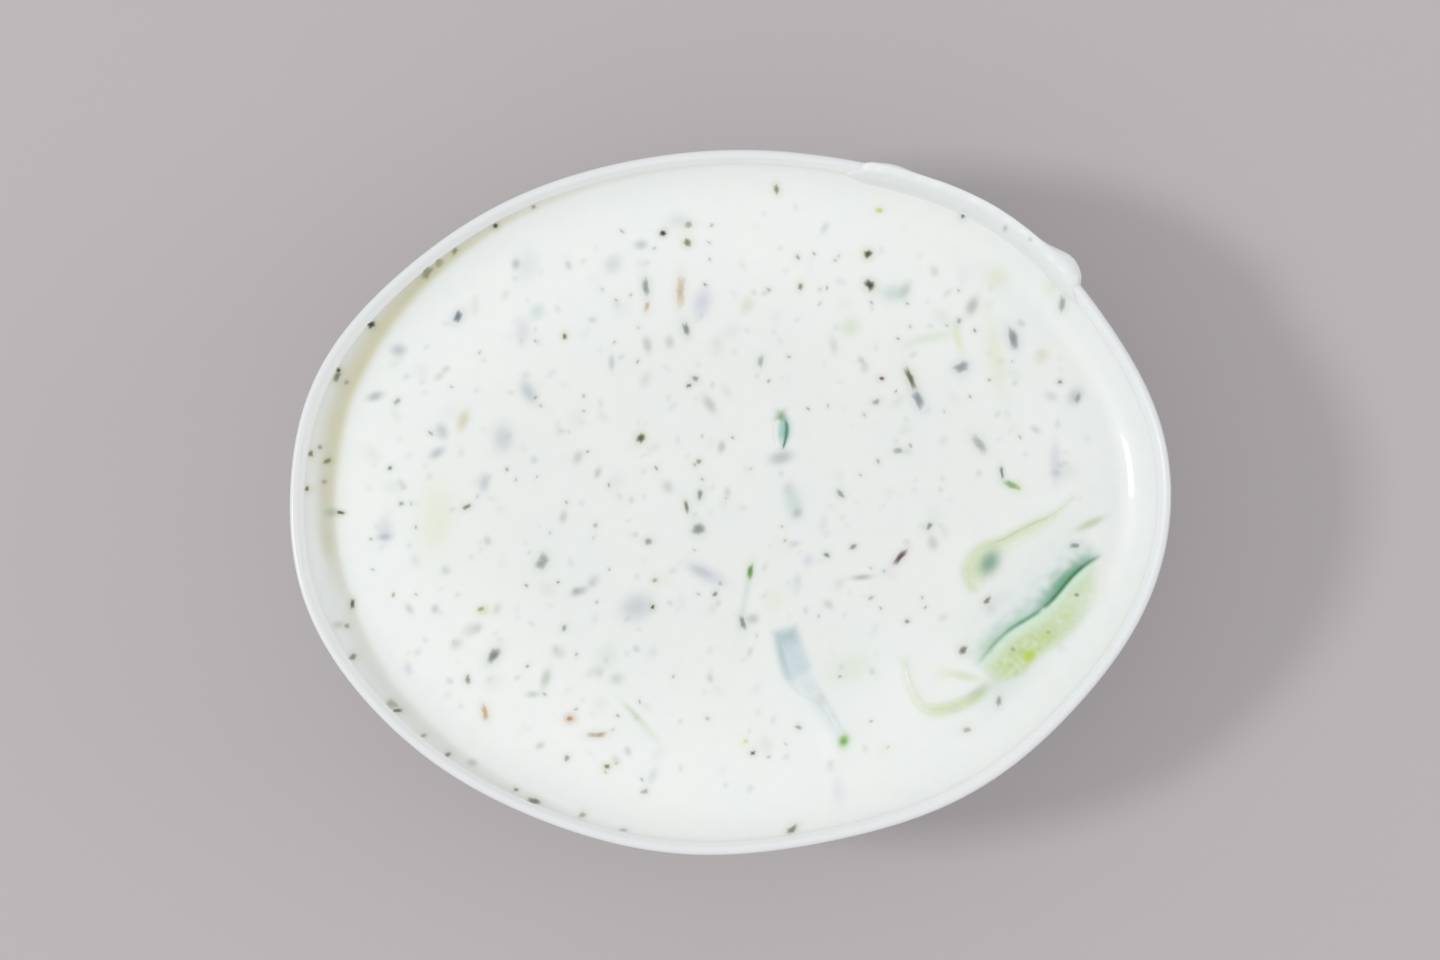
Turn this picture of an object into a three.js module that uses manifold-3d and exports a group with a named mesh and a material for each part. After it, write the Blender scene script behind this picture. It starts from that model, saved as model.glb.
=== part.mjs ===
/**
 * Tzatziki in its oval dish: a plain white dish, the dip that fills it to just under the rim, and
 * the cucumber and herb pieces that lie in the dip.
 * Millimetres, +Z up, +X along the dish. The origin is under the middle of the foot.
 */
import * as THREE from 'three';
import { mergeVertices } from 'three/addons/utils/BufferGeometryUtils.js';
import Module from 'manifold-3d';

const wasm = await Module();
wasm.setup();

const DEG = Math.PI / 180;
const TURN = 2 * Math.PI;

// The dish
const LENGTH = 131;
const BREADTH = 105;
const HEIGHT = 36;
const WALL = 1.2;
const RIM_RADIUS = 0.65;
const RIM_ARC = 200; // degrees of the rounding, from the outer face over the top to the inner face
const RIM_STEPS = 6;
const FLOOR_UNDERSIDE = 1;
const FOOT_OUTER = 22.5; // insets of the foot ring from the rim's outer edge
const FOOT_INNER = 25.5;
const FOOT_SLOPE = 0.9;
const FOOT_TOP = 1.3; // where the foot ring runs into the underside
const SEGMENTS = 76;
const SIDE_STATIONS = 6;
const UNDER_RIM = 0.99; // where the rim ends and the side's inner face starts
const GUARD_FROM = 0.7;

// The outside of the dish from the foot to the rim: inset from the rim's outer edge, height
const SIDE = new THREE.CubicBezierCurve(
  new THREE.Vector2(21, 1.6),
  new THREE.Vector2(9, 4),
  new THREE.Vector2(5, 20),
  new THREE.Vector2(0.35, HEIGHT - 1.6)
);

// The rim isn't a true oval: waves around it, each with a count, a size and the angle of a crest.
const RIM_WAVES = [
  { count: 2, size: 0.26, crest: -30 },
  { count: 3, size: 0.27, crest: 44 },
  { count: 4, size: 0.18, crest: -20 },
  { count: 5, size: 0.18, crest: -13 },
  { count: 6, size: 0.15, crest: -7 },
  { count: 7, size: 0.26, crest: -2 },
  { count: 10, size: 0.14, crest: 12 },
];

// The dip
const GAP = 0.3; // between neighbouring solids
const LEVEL = HEIGHT - 5.7;
const CLIMB = 3.2; // how far the dip climbs the wall
const CLIMB_WIDTH = 6.3;
const DIP_RINGS = [0, 0.8, 1.8, 3, 4.4, CLIMB_WIDTH, 11, 20, 32]; // insets from the wall
const FLECK_COUNT = 160;
const FLECK_SMALLEST = 0.55;
const FLECK_SPREAD = 1.9; // how much longer the largest fleck is
const FLECK_FALL = 70; // flecks until the extra length has fallen to a third
const FLECK_MARGIN = 9; // from the rim's outer edge
const FLECK_STANDS = 0.28; // how far the broadest flecks stand out of the dip
const FLECK_SPACING = 0.4; // at least, between a small fleck and one that stands out
const FLECK_SLIMMEST = 0.42; // breadth as a share of the length
const FLECK_BROADEST = 0.77;
const FLECK_TURN = 70; // how far a small fleck's heading may be off the dish's breadth, in degrees
const SPREAD_ACROSS = 0.7548776662; // steps that spread points evenly over a square
const SPREAD_UP = 0.569840291;
const FLECK_STRAY = 3.2; // how far a small fleck may lie off the even spread, each way
const RIPPLE = 0.11; // the dip's slow rise and fall
const CROSS_RIPPLE = 0.07;

// Dip smeared over the rim, from one angle around the dish to another, in degrees
const SMEAR_FROM = 31;
const SMEAR_TO = 72;
const SMEAR_TAPER = 5; // degrees in which it grows to its full section
const SMEAR_RISE = 0.95; // above the rim
const SMEAR_OVERHANG = 0.1; // out beyond the rim, beside the lumps
const SMEAR_LUMPS = [
  { at: 37.2, size: 1.3, spread: 3.4 },
  { at: 65.3, size: 0.45, spread: 2.8 },
];
const SMEAR_SLICES = 24;

// Flecks that stand out: x, y, length, breadth, heading in degrees
const LARGE_FLECKS = [
  [-5.6, 32, 4.7, 1.2, 86],
  [-10.8, 32.8, 2.5, 1.0, 95],
  [-10.8, 29.8, 1.5, 0.7, 80],
  [23, 31.1, 1.6, 1.3, 130],
  [22.9, 35.8, 1.3, 1.1, 20],
  [9.7, 46.3, 1.3, 0.7, 100],
  [-7.8, 40.8, 1.0, 0.8, 40],
  [-3.9, 41.8, 1.2, 1.0, 30],
  [-4.2, 39.1, 1.2, 1.0, 150],
  [-39.6, 29.9, 1.9, 1.3, 50],
  [36, 18, 2.3, 1.6, 25],
  [43.9, 21.9, 3.0, 1.4, 105],
  [28.3, 16.8, 3.0, 0.9, 110],
  [29.3, 13.5, 2.9, 1.3, 110],
  [-12.6, 10, 1.4, 1.1, 60],
  [-4.1, 1, 1.6, 0.8, 80],
  [-6.2, -0.7, 1.8, 0.6, 100],
  [-4.6, -4.2, 1.8, 1.6, 10],
  [-12.2, -5.6, 1.2, 0.9, 20],
  [25.4, -9.9, 2.8, 0.8, 45],
  [-28.4, -7.9, 2.4, 1.5, 60],
  [2.9, -10.9, 2.1, 0.8, 80],
  [1.4, -18.4, 2.0, 0.8, 100],
  [-36.4, -21.6, 2.7, 1.3, 55],
  [-38.1, -30.1, 2.1, 0.9, 100],
  [-21.2, -34.2, 2.7, 0.8, 5],
  [34.1, -24.2, 1.3, 1.1, 60],
  [38.4, -18.3, 1.3, 1.0, 35],
  [41.2, 2, 1.6, 0.5, 95],
  [42.6, 0, 2.3, 0.9, -25],
  [53.9, -6.3, 3.4, 0.8, 22],
  [33.9, -28, 4.4, 0.9, -20],
];

// Discs around the cucumber and the leaf that no small fleck enters: x, y, radius
const KEPT_CLEAR = [
  [45, -20, 12.5],
  [44, -8, 9.5],
  [36.5, -13, 6],
  [30.5, -29.5, 8.5],
  [8.2, -24, 5.5],
  [13, -32, 5],
  [8.3, 9.3, 4.6],
];

/** How far the rim stands out of a true oval at an angle around the dish. */
function sway(angle) {
  return RIM_WAVES.reduce(
    (sum, wave) => sum + wave.size * Math.cos(wave.count * (angle - wave.crest * DEG)),
    0
  );
}

/** A point of the dish's oval: the angle around it, the inset from the rim, and the height. */
function ovalPoint(angle, inset, height) {
  const out = sway(angle) * (height / HEIGHT) ** 2 - inset;
  return new THREE.Vector3(
    (LENGTH / 2 + out) * Math.cos(angle),
    (BREADTH / 2 + out) * Math.sin(angle),
    height
  );
}

/** A ring of points around the dish. */
function ovalRing([inset, height]) {
  return Array.from({ length: SEGMENTS }, (_, i) =>
    ovalPoint((TURN * i) / SEGMENTS, inset, height)
  );
}

/**
 * A closed solid through rings of equally many points, counterclockwise about the way they run.
 * It is closed by a point before the first ring and one after the last, or, without these, by
 * joining the last ring to the first.
 */
function loft(rings, first, last) {
  const size = rings[0].length;
  const points = rings.flat();
  const faces = [];
  const joins = first ? rings.length - 1 : rings.length;
  for (let j = 0; j < joins; j++) {
    const below = j * size;
    const above = ((j + 1) % rings.length) * size;
    for (let i = 0; i < size; i++) {
      const next = (i + 1) % size;
      faces.push(below + i, below + next, above + next);
      faces.push(below + i, above + next, above + i);
    }
  }
  if (first) {
    const end = points.push(first, last);
    const top = (rings.length - 1) * size;
    for (let i = 0; i < size; i++) {
      const next = (i + 1) % size;
      faces.push(end - 2, next, i);
      faces.push(end - 1, top + i, top + next);
    }
  }
  const geometry = new THREE.BufferGeometry().setFromPoints(points);
  geometry.setIndex(faces);
  return geometry;
}

function toSolid(geometry) {
  const bare = geometry.clone();
  bare.deleteAttribute('normal');
  bare.deleteAttribute('uv');
  const merged = mergeVertices(bare, 1e-5);
  const vertProperties = new Float32Array(merged.attributes.position.array);
  const triVerts = new Uint32Array(merged.index.array);
  return new wasm.Manifold(new wasm.Mesh({ numProp: 3, vertProperties, triVerts }));
}

function toGeometry(solid) {
  const mesh = solid.getMesh();
  const geometry = new THREE.BufferGeometry();
  geometry.setAttribute('position', new THREE.BufferAttribute(mesh.vertProperties, 3));
  geometry.setIndex(new THREE.BufferAttribute(mesh.triVerts, 1));
  geometry.computeVertexNormals();
  return geometry;
}

/** A point of the side, moved off it towards the inside of the dish. */
function sidePoint(t, offset) {
  const point = SIDE.getPoint(t);
  const along = SIDE.getTangent(t);
  return [point.x + along.y * offset, point.y - along.x * offset];
}

/** The place on the side, moved inwards by an offset, that lies at a height. */
function sideAt(height, offset) {
  let low = 0;
  let high = 1;
  for (let step = 0; step < 40; step++) {
    const middle = (low + high) / 2;
    if (sidePoint(middle, offset)[1] < height) low = middle;
    else high = middle;
  }
  return low;
}

/** The side as stations from one place on it to another. */
function sideStations(from, to, count, offset) {
  return Array.from({ length: count + 1 }, (_, i) =>
    sidePoint(from + ((to - from) * i) / count, offset)
  );
}

/** The rounded rim from outside to inside, grown by a distance. */
function rimStations(grown) {
  const radius = RIM_RADIUS + grown;
  return Array.from({ length: RIM_STEPS + 1 }, (_, i) => {
    const angle = RIM_ARC * (1 - i / RIM_STEPS) * DEG;
    return [RIM_RADIUS + radius * Math.cos(angle), HEIGHT - RIM_RADIUS + radius * Math.sin(angle)];
  });
}

function bowl() {
  const profile = [
    [FOOT_INNER + FOOT_SLOPE, FLOOR_UNDERSIDE],
    [FOOT_INNER, 0],
    [FOOT_OUTER, 0],
    [FOOT_OUTER - FOOT_SLOPE, FOOT_TOP],
    ...sideStations(0, 1, SIDE_STATIONS, 0),
    ...rimStations(0),
    ...sideStations(UNDER_RIM, 0, SIDE_STATIONS, WALL),
  ];
  const floor = sidePoint(0, WALL)[1];
  return loft(
    profile.map(ovalRing),
    new THREE.Vector3(0, 0, FLOOR_UNDERSIDE),
    new THREE.Vector3(0, 0, floor)
  );
}

/** The upper wall and rim, grown by the gap, which the dip keeps out of. */
function rimGuard() {
  const profile = [
    ...sideStations(GUARD_FROM, 1, 4, -GAP),
    ...rimStations(GAP),
    ...sideStations(UNDER_RIM, GUARD_FROM, 4, WALL + GAP),
  ];
  return toSolid(loft(profile.map(ovalRing)));
}

/** The dip's slow rise and fall. */
function ripple(x, y) {
  const slow = RIPPLE * Math.sin(x / 13 + 0.6) * Math.cos(y / 11 - 0.4);
  return slow + CROSS_RIPPLE * Math.sin((x + y) / 9);
}

/** The dip's height above its level, from how far it is from the wall. */
function climb(fromWall) {
  return CLIMB * Math.max(0, 1 - fromWall / CLIMB_WIDTH) ** 2;
}

const CONTACT = sideAt(LEVEL + CLIMB, WALL + GAP);
const CONTACT_INSET = sidePoint(CONTACT, WALL + GAP)[0];

function dipBody() {
  const under = sideStations(0, CONTACT, 5, WALL + GAP).map(ovalRing);
  const over = DIP_RINGS.slice(1).map((fromWall) =>
    ovalRing([CONTACT_INSET + fromWall, LEVEL + climb(fromWall)])
  );
  over.forEach((ring, i) => {
    const share = Math.min(1, DIP_RINGS[i + 1] / CLIMB_WIDTH);
    ring.forEach((point) => {
      point.z += share * ripple(point.x, point.y);
    });
  });
  const bottom = sidePoint(0, WALL + GAP)[1];
  return toSolid(
    loft(
      [...under, ...over],
      new THREE.Vector3(0, 0, bottom),
      new THREE.Vector3(0, 0, LEVEL + ripple(0, 0))
    )
  );
}

/** From 0 to 1 as a value goes from one edge to the other, without a corner. */
function blend(from, to, value) {
  return THREE.MathUtils.smoothstep(value, from, to);
}

/** Dip that was wiped over the rim: a lumpy ridge on it that grows out of the dip beside it. */
function smear() {
  const core = [CONTACT_INSET + 1.2, LEVEL];
  const start = SMEAR_FROM - 1;
  const end = SMEAR_TO + 1;
  const rise = SMEAR_RISE;
  const rings = [];
  for (let i = 0; i <= SMEAR_SLICES; i++) {
    const angle = THREE.MathUtils.lerp(SMEAR_FROM, SMEAR_TO, i / SMEAR_SLICES);
    const grown = blend(start, start + SMEAR_TAPER, angle);
    const size = grown * (1 - blend(end - SMEAR_TAPER, end, angle));
    const lumps = SMEAR_LUMPS.map(
      ({ at, size, spread }) => size * Math.exp(-(((angle - at) / spread) ** 2))
    );
    const out = SMEAR_OVERHANG + Math.max(...lumps);
    const outline = [
      [-out, HEIGHT - 1.4],
      [RIM_RADIUS, HEIGHT - 2],
      [CONTACT_INSET + 0.6, LEVEL - 1],
      [CONTACT_INSET + 2.6, LEVEL + 0.3],
      [CONTACT_INSET + 1, HEIGHT - 2.9],
      [2.35, HEIGHT - 1.6],
      [2, HEIGHT - 0.6],
      [1.5, HEIGHT + 0.5 * rise],
      [0.6, HEIGHT + rise],
      [-0.3 * out, HEIGHT + 0.8 * rise],
      [-1.2 * out, HEIGHT - 0.4],
    ];
    rings.push(
      outline.map(([inset, height]) =>
        ovalPoint(
          angle * DEG,
          THREE.MathUtils.lerp(core[0], inset, size),
          THREE.MathUtils.lerp(core[1], height, size)
        )
      )
    );
  }
  const first = ovalPoint((SMEAR_FROM - 0.5) * DEG, ...core);
  const last = ovalPoint((SMEAR_TO + 0.5) * DEG, ...core);
  return toSolid(loft(rings, first, last));
}

/** A number from 0 to 1 that looks random, the same for the same index and draw. */
function draw(index, which) {
  const wild = Math.sin(index * 127.1 + which * 311.7) * 43758.5453;
  return wild - Math.floor(wild);
}

/** The small flecks, largest first, spread evenly over the dip. */
function smallFlecks(count) {
  const flecks = [];
  for (let i = 0; flecks.length < count; i++) {
    const across = 2 * ((0.5 + i * SPREAD_ACROSS) % 1) - 1;
    const up = 2 * ((0.5 + i * SPREAD_UP) % 1) - 1;
    const halfLength = LENGTH / 2 - FLECK_MARGIN;
    const halfBreadth = BREADTH / 2 - FLECK_MARGIN;
    const x = halfLength * across + FLECK_STRAY * (2 * draw(i, 3) - 1);
    const y = halfBreadth * up + FLECK_STRAY * (2 * draw(i, 4) - 1);
    const length = FLECK_SMALLEST + FLECK_SPREAD * Math.exp(-flecks.length / FLECK_FALL);
    const isNear = ([cx, cy], reach) => Math.hypot(x - cx, y - cy) < reach + length / 2;
    const blocked =
      (x / halfLength) ** 2 + (y / halfBreadth) ** 2 > 1 ||
      KEPT_CLEAR.some((disc) => isNear(disc, disc[2])) ||
      LARGE_FLECKS.some((large) => isNear(large, large[2] / 2 + FLECK_SPACING));
    if (blocked) continue;
    const breadth = length * THREE.MathUtils.lerp(FLECK_SLIMMEST, FLECK_BROADEST, draw(i, 1));
    flecks.push([x, y, length, breadth, 90 + FLECK_TURN * (2 * draw(i, 2) - 1)]);
  }
  return flecks;
}

/** A fleck of herb, pepper or cucumber lying in the dip's surface. */
function fleck([x, y, length, breadth, heading]) {
  const stands = Math.min(FLECK_STANDS, 0.3 * breadth);
  const shape = new THREE.SphereGeometry(1, 6, 2);
  shape.rotateX(90 * DEG);
  shape.scale(length / 2, breadth / 2, stands);
  shape.rotateZ(heading * DEG);
  shape.translate(x, y, LEVEL + ripple(x, y) - 0.1 * stands);
  return toSolid(shape);
}

/** A section grown outwards by a distance, corner by corner. */
function grow(section, distance) {
  return section.map((corner, i) => {
    const before = section[(i + section.length - 1) % section.length];
    const after = section[(i + 1) % section.length];
    const into = corner.clone().sub(before).normalize();
    const out = after.clone().sub(corner).normalize();
    const normal = new THREE.Vector2(into.y + out.y, -into.x - out.x).normalize();
    const miter = Math.max(0.5, normal.x * into.y - normal.y * into.x);
    return corner.clone().addScaledVector(normal, distance / miter);
  });
}

/**
 * A piece that runs along a route in the dip. sectionAt gives its section at a share of the way,
 * as points to the left of the route and up. A distance grows it all round.
 */
function pieceAlong(route, slices, sectionAt, grown) {
  const rings = [];
  for (let i = 0; i <= slices; i++) {
    const share = i / slices;
    const centre = route.getPoint(share);
    const ahead = route.getTangent(share).setZ(0).normalize();
    const left = new THREE.Vector3(-ahead.y, ahead.x, 0);
    if (i === 0) centre.addScaledVector(ahead, -grown);
    if (i === slices) centre.addScaledVector(ahead, grown);
    const section = grow(sectionAt(share), grown);
    rings.push(
      section.map((corner) => {
        const point = centre.clone().addScaledVector(left, corner.x);
        point.z += corner.y;
        return point;
      })
    );
  }
  return loft(rings, middle(rings[0]), middle(rings[rings.length - 1]));
}

function middle(points) {
  const sum = new THREE.Vector3();
  points.forEach((point) => sum.add(point));
  return sum.divideScalar(points.length);
}

/** A smooth route through points given as x, y and height above the dip's level. */
function routeThrough(points) {
  const places = points.map(([x, y, height]) => new THREE.Vector3(x, y, LEVEL + height));
  return new THREE.CatmullRomCurve3(places, false, 'catmullrom', 0.5);
}

/** Values given at even steps along a route, read smoothly at a share of the way. */
function valueAlong(values, share) {
  const curve = new THREE.CatmullRomCurve3(
    values.map((value, i) => new THREE.Vector3(i, value, 0)),
    false,
    'catmullrom',
    0.5
  );
  return curve.getPoint(share).y;
}

/** A flat piece's rounded section. */
function flatSection(breadth, thickness) {
  const corners = 8;
  return Array.from({ length: corners }, (_, i) => {
    const angle = (TURN * (i + 0.5)) / corners;
    const flat = Math.sign(Math.sin(angle)) * Math.abs(Math.sin(angle)) ** 0.6;
    return new THREE.Vector2((breadth / 2) * Math.cos(angle), (thickness / 2) * flat);
  });
}

/** Flat strips: route as x, y and height above the level, breadths at even steps, thickness. */
const STRIPS = {
  // a curled shaving of cucumber with a broad, sunk head at its near end
  cucumber_curl: {
    route: [
      [51.9, -2.3, 0.1],
      [48.8, -5, 0.18],
      [44.9, -6.9, 0.22],
      [41.1, -8.7, 0.2],
      [38.1, -10, 0.12],
      [36.8, -12.7, 0.04],
      [36.5, -15.5, -0.1],
    ],
    breadths: [0.4, 1.3, 2.2, 2.2, 3.2, 4.5, 1.8],
    thickness: 0.9,
    slices: 18,
  },
  // a thin hooked shaving below the slice
  cucumber_hook: {
    route: [
      [25.3, -25.2, 0.05],
      [26.1, -29.2, 0.12],
      [27.3, -31.7, 0.15],
      [29.2, -32.8, 0.16],
      [32.2, -32.5, 0.18],
      [35.2, -31.4, 0.18],
      [37.3, -30.1, 0.1],
    ],
    breadths: [0.6, 0.9, 1.2, 1.4, 1.5, 1.3, 0.8],
    thickness: 0.8,
    slices: 16,
  },
  // a sunken strip with a narrow tail
  cucumber_strip: {
    route: [
      [7.7, -20, 0],
      [8.8, -24.2, 0.05],
      [9.9, -27.4, 0.03],
      [12.9, -31, 0.06],
      [15.8, -36.4, 0.2],
    ],
    breadths: [3, 3.8, 3.6, 1.2, 0.9],
    thickness: 0.8,
    slices: 14,
  },
  herb_leaf: {
    route: [
      [8.7, 12.6, 0.05],
      [8.7, 10.9, 0.2],
      [8.5, 9.2, 0.14],
      [8.4, 7.2, 0.04],
    ],
    breadths: [0.5, 2.1, 2.3, 1],
    thickness: 0.5,
    slices: 10,
  },
};

function strip({ route, breadths, thickness, slices }, grown) {
  const along = routeThrough(route);
  return pieceAlong(
    along,
    slices,
    (share) => flatSection(valueAlong(breadths, share), thickness),
    grown
  );
}

// The cucumber slice: its skin edge runs from the far right end to the near left one.
const SLICE = {
  from: [54.6, -11.4],
  to: [35.9, -26],
  flesh: [0.9, 4.1, 4.9, 5.2, 5.4, 5.6, 5.8, 5.8, 4], // across the cut face, at even steps
  depth: 2.6,
  skin: 1.8, // how far the skin leans away as it sinks
  proud: 0.15, // how far the skin edge stands over the route
  sway: 0.42,
  swayLength: 14.5,
  swayCrest: 10.5,
  height: 0.3,
  slices: 20,
};

function sliceRoute() {
  const start = new THREE.Vector2(...SLICE.from);
  const run = new THREE.Vector2(...SLICE.to).sub(start);
  const ahead = run.clone().normalize();
  const left = new THREE.Vector2(-ahead.y, ahead.x);
  const steps = 10;
  const points = Array.from({ length: steps + 1 }, (_, i) => {
    const far = (run.length() * i) / steps;
    const wave = SLICE.sway * Math.cos((TURN * (far - SLICE.swayCrest)) / SLICE.swayLength);
    const place = start.clone().addScaledVector(ahead, far).addScaledVector(left, wave);
    return [place.x, place.y, SLICE.height];
  });
  return routeThrough(points);
}

function sliceSection(share) {
  const ends = Math.max(0.04, 1 - Math.abs(2 * share - 1) ** 3.2) ** 0.5;
  const flesh = valueAlong(SLICE.flesh, share);
  const depth = SLICE.depth * ends;
  const skin = SLICE.skin * ends;
  return [
    [0, SLICE.proud],
    [-0.5 * skin, -0.3 * depth],
    [-skin, -0.8 * depth],
    [-0.6 * skin, -depth],
    [0.55 * flesh, -depth],
    [0.95 * flesh, -0.5 * depth],
    [flesh, -0.6 * SLICE.proud],
    [0.5 * flesh, 0.8 * SLICE.proud],
  ].map(([left, up]) => new THREE.Vector2(left, up));
}

function slice(grown) {
  return pieceAlong(sliceRoute(), SLICE.slices, sliceSection, grown);
}

function dip() {
  const flecks = [...LARGE_FLECKS, ...smallFlecks(FLECK_COUNT)].map(fleck);
  const pockets = [slice(GAP), ...Object.values(STRIPS).map((shape) => strip(shape, GAP))];
  let solid = dipBody().add(smear().subtract(rimGuard()));
  flecks.forEach((piece) => {
    solid = solid.add(piece);
  });
  pockets.forEach((pocket) => {
    solid = solid.subtract(toSolid(pocket));
  });
  const bodies = solid.decompose();
  return toGeometry(bodies.reduce((most, body) => (body.volume() > most.volume() ? body : most)));
}

function named(name, geometry, colour, roughness) {
  const material = new THREE.MeshStandardMaterial({ color: colour, roughness, metalness: 0 });
  const mesh = new THREE.Mesh(geometry, material);
  mesh.name = name;
  return mesh;
}

const WHITE_DISH = 0xeeeef2;
const WHITE_DIP = 0xf0f2ee;
const GREENS = {
  cucumber_curl: 0xc6d3a0,
  cucumber_hook: 0xd2dcae,
  cucumber_strip: 0x9fb8b4,
  herb_leaf: 0x4f9a78,
};
const SLICE_GREEN = 0xbcd39a;

const tzatziki = new THREE.Group();
tzatziki.add(named('bowl', bowl(), WHITE_DISH, 0.3));
tzatziki.add(named('dip', dip(), WHITE_DIP, 0.35));
tzatziki.add(named('cucumber_slice', slice(0), SLICE_GREEN, 0.4));
for (const [name, shape] of Object.entries(STRIPS)) {
  tzatziki.add(named(name, strip(shape, 0), GREENS[name], 0.45));
}

export default tzatziki;
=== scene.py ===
"""Looks for tzatziki in its oval bowl: the bowl, the dip with its stains, flecks and cucumber, the
floor, the lights and the camera. Shapes are worked out in millimetres, in the frame's axes."""

import math
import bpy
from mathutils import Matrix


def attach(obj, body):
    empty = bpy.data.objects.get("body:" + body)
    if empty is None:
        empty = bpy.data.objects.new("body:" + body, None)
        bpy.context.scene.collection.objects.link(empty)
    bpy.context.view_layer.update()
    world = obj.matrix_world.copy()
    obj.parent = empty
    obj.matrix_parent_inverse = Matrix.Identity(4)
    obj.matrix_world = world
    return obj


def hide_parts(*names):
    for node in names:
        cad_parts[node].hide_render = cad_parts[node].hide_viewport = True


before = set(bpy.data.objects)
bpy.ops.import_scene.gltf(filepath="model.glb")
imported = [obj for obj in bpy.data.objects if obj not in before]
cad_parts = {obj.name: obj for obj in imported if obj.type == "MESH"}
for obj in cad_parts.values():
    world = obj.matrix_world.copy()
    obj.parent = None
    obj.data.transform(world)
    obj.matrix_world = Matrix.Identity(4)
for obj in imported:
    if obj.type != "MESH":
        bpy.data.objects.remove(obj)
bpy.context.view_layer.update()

from types import SimpleNamespace

import bpy
import numpy as np
from mathutils import Matrix, Vector

MM = 0.001

# The bowl, as in the solids
LENGTH = 131
BREADTH = 105
HEIGHT = 36
WALL = 1.2
RIM_RADIUS = 0.65
RIM_ARC = 200  # degrees of the rounding, from the outer face to the inner one
FLOOR_UNDERSIDE = 1
FOOT_OUTER = 22.5
FOOT_INNER = 25.5
FOOT_SLOPE = 0.9
FOOT_TOP = 1.3
SIDE = np.array([(21, 1.6), (9, 4), (5, 20), (0.35, HEIGHT - 1.6)])  # Bezier: inset, height
# Waves around the rim: count, size, crest in degrees. They are another program's fit to the
# photograph's outline, rounded.
RIM_WAVES = [
    (2, 0.26, -30),
    (3, 0.27, 44),
    (4, 0.18, -20),
    (5, 0.18, -13),
    (6, 0.15, -7),
    (7, 0.26, -2),
    (10, 0.14, 12),
]

# The dip
LEVEL = HEIGHT - 5.7
CLIMB = 3.2
CLIMB_WIDTH = 6.3
SMEAR_FROM = 31
SMEAR_TO = 72
SMEAR_TAPER = 5
SMEAR_LUMPS = [(37.2, 1.3, 3.4), (65.3, 0.45, 2.8)]  # angle, how far it hangs out, spread
SMEAR_RISE = 0.95
RIPPLE = 0.11  # the slow rise and fall of the dip
CROSS_RIPPLE = 0.07
FINE_RIPPLE = 0.012


def linear(r, g, b):
    """A screen colour as the numbers that shaders take."""
    screen = np.array([r, g, b]) / 255
    return np.where(screen <= 0.04045, screen / 12.92, ((screen + 0.055) / 1.055) ** 2.4)


def blend(start, end, value):
    """From 0 to 1 as a value goes from one edge to the other, without a corner. Also backwards."""
    share = np.clip((value - start) / (end - start), 0, 1)
    return share * share * (3 - 2 * share)


def mixed(first, second, share):
    """One colour going over into another."""
    share = np.asarray(share)[..., None]
    return first * (1 - share) + second * share


def draw(index, which):
    """A number from 0 to 1 that looks random, the same for the same index and draw."""
    wild = math.sin(index * 127.1 + which * 311.7) * 43758.5453
    return wild - math.floor(wild)


# ---- Shapes around the oval -------------------------------------------------------------------


def sway(angle):
    """How far the rim stands out of a true oval at an angle around the bowl, in radians."""
    return sum(size * np.cos(count * (angle - math.radians(crest))) for count, size, crest in RIM_WAVES)


def oval(angle, inset, height):
    """Points of the bowl's oval: the angle around it, the inset from the rim, and the height."""
    out = sway(angle) * (height / HEIGHT) ** 2 - inset
    x = (LENGTH / 2 + out) * np.cos(angle)
    y = (BREADTH / 2 + out) * np.sin(angle)
    return np.stack([x, y, np.broadcast_to(height, x.shape)], axis=-1)


def side_point(t, offset):
    """A point of the bowl's side, moved off it towards the inside: inset and height."""
    a, b, c, d = SIDE
    point = (1 - t) ** 3 * a + 3 * (1 - t) ** 2 * t * b + 3 * (1 - t) * t * t * c + t**3 * d
    along = (1 - t) ** 2 * (b - a) + 2 * (1 - t) * t * (c - b) + t * t * (d - c)
    along /= np.linalg.norm(along)
    return point + offset * np.array([along[1], -along[0]])


def side_stations(start, end, count, offset):
    """Stations along the bowl's side: inset and height."""
    return [side_point(t, offset) for t in np.linspace(start, end, count + 1)]


def rim_stations(count):
    """The rounded rim from outside to inside."""
    angles = np.radians(np.linspace(RIM_ARC, 0, count + 1))
    return [
        (RIM_RADIUS * (1 + math.cos(a)), HEIGHT - RIM_RADIUS * (1 - math.sin(a))) for a in angles
    ]


def side_at(height, offset):
    """The place on the side, moved inwards by an offset, that lies at a height."""
    low, high = 0.0, 1.0
    for _ in range(40):
        middle = (low + high) / 2
        if side_point(middle, offset)[1] < height:
            low = middle
        else:
            high = middle
    return low


FILLET = 0.5  # the dip's last steep rise to the wall
FILLET_WIDTH = 0.35
CONTACT_HEIGHT = LEVEL + CLIMB + FILLET
CONTACT = side_at(CONTACT_HEIGHT, WALL)
CONTACT_INSET = side_point(CONTACT, WALL)[0] - 0.04


def ripple(x, y):
    """The dip's slow rise and fall."""
    slow = RIPPLE * np.sin(x / 13 + 0.6) * np.cos(y / 11 - 0.4)
    slow = slow + CROSS_RIPPLE * np.sin((x + y) / 9)
    return slow + FINE_RIPPLE * np.sin(x / 2.3 + 1.7 * np.sin(y / 5)) * np.cos(y / 3.1)


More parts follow.
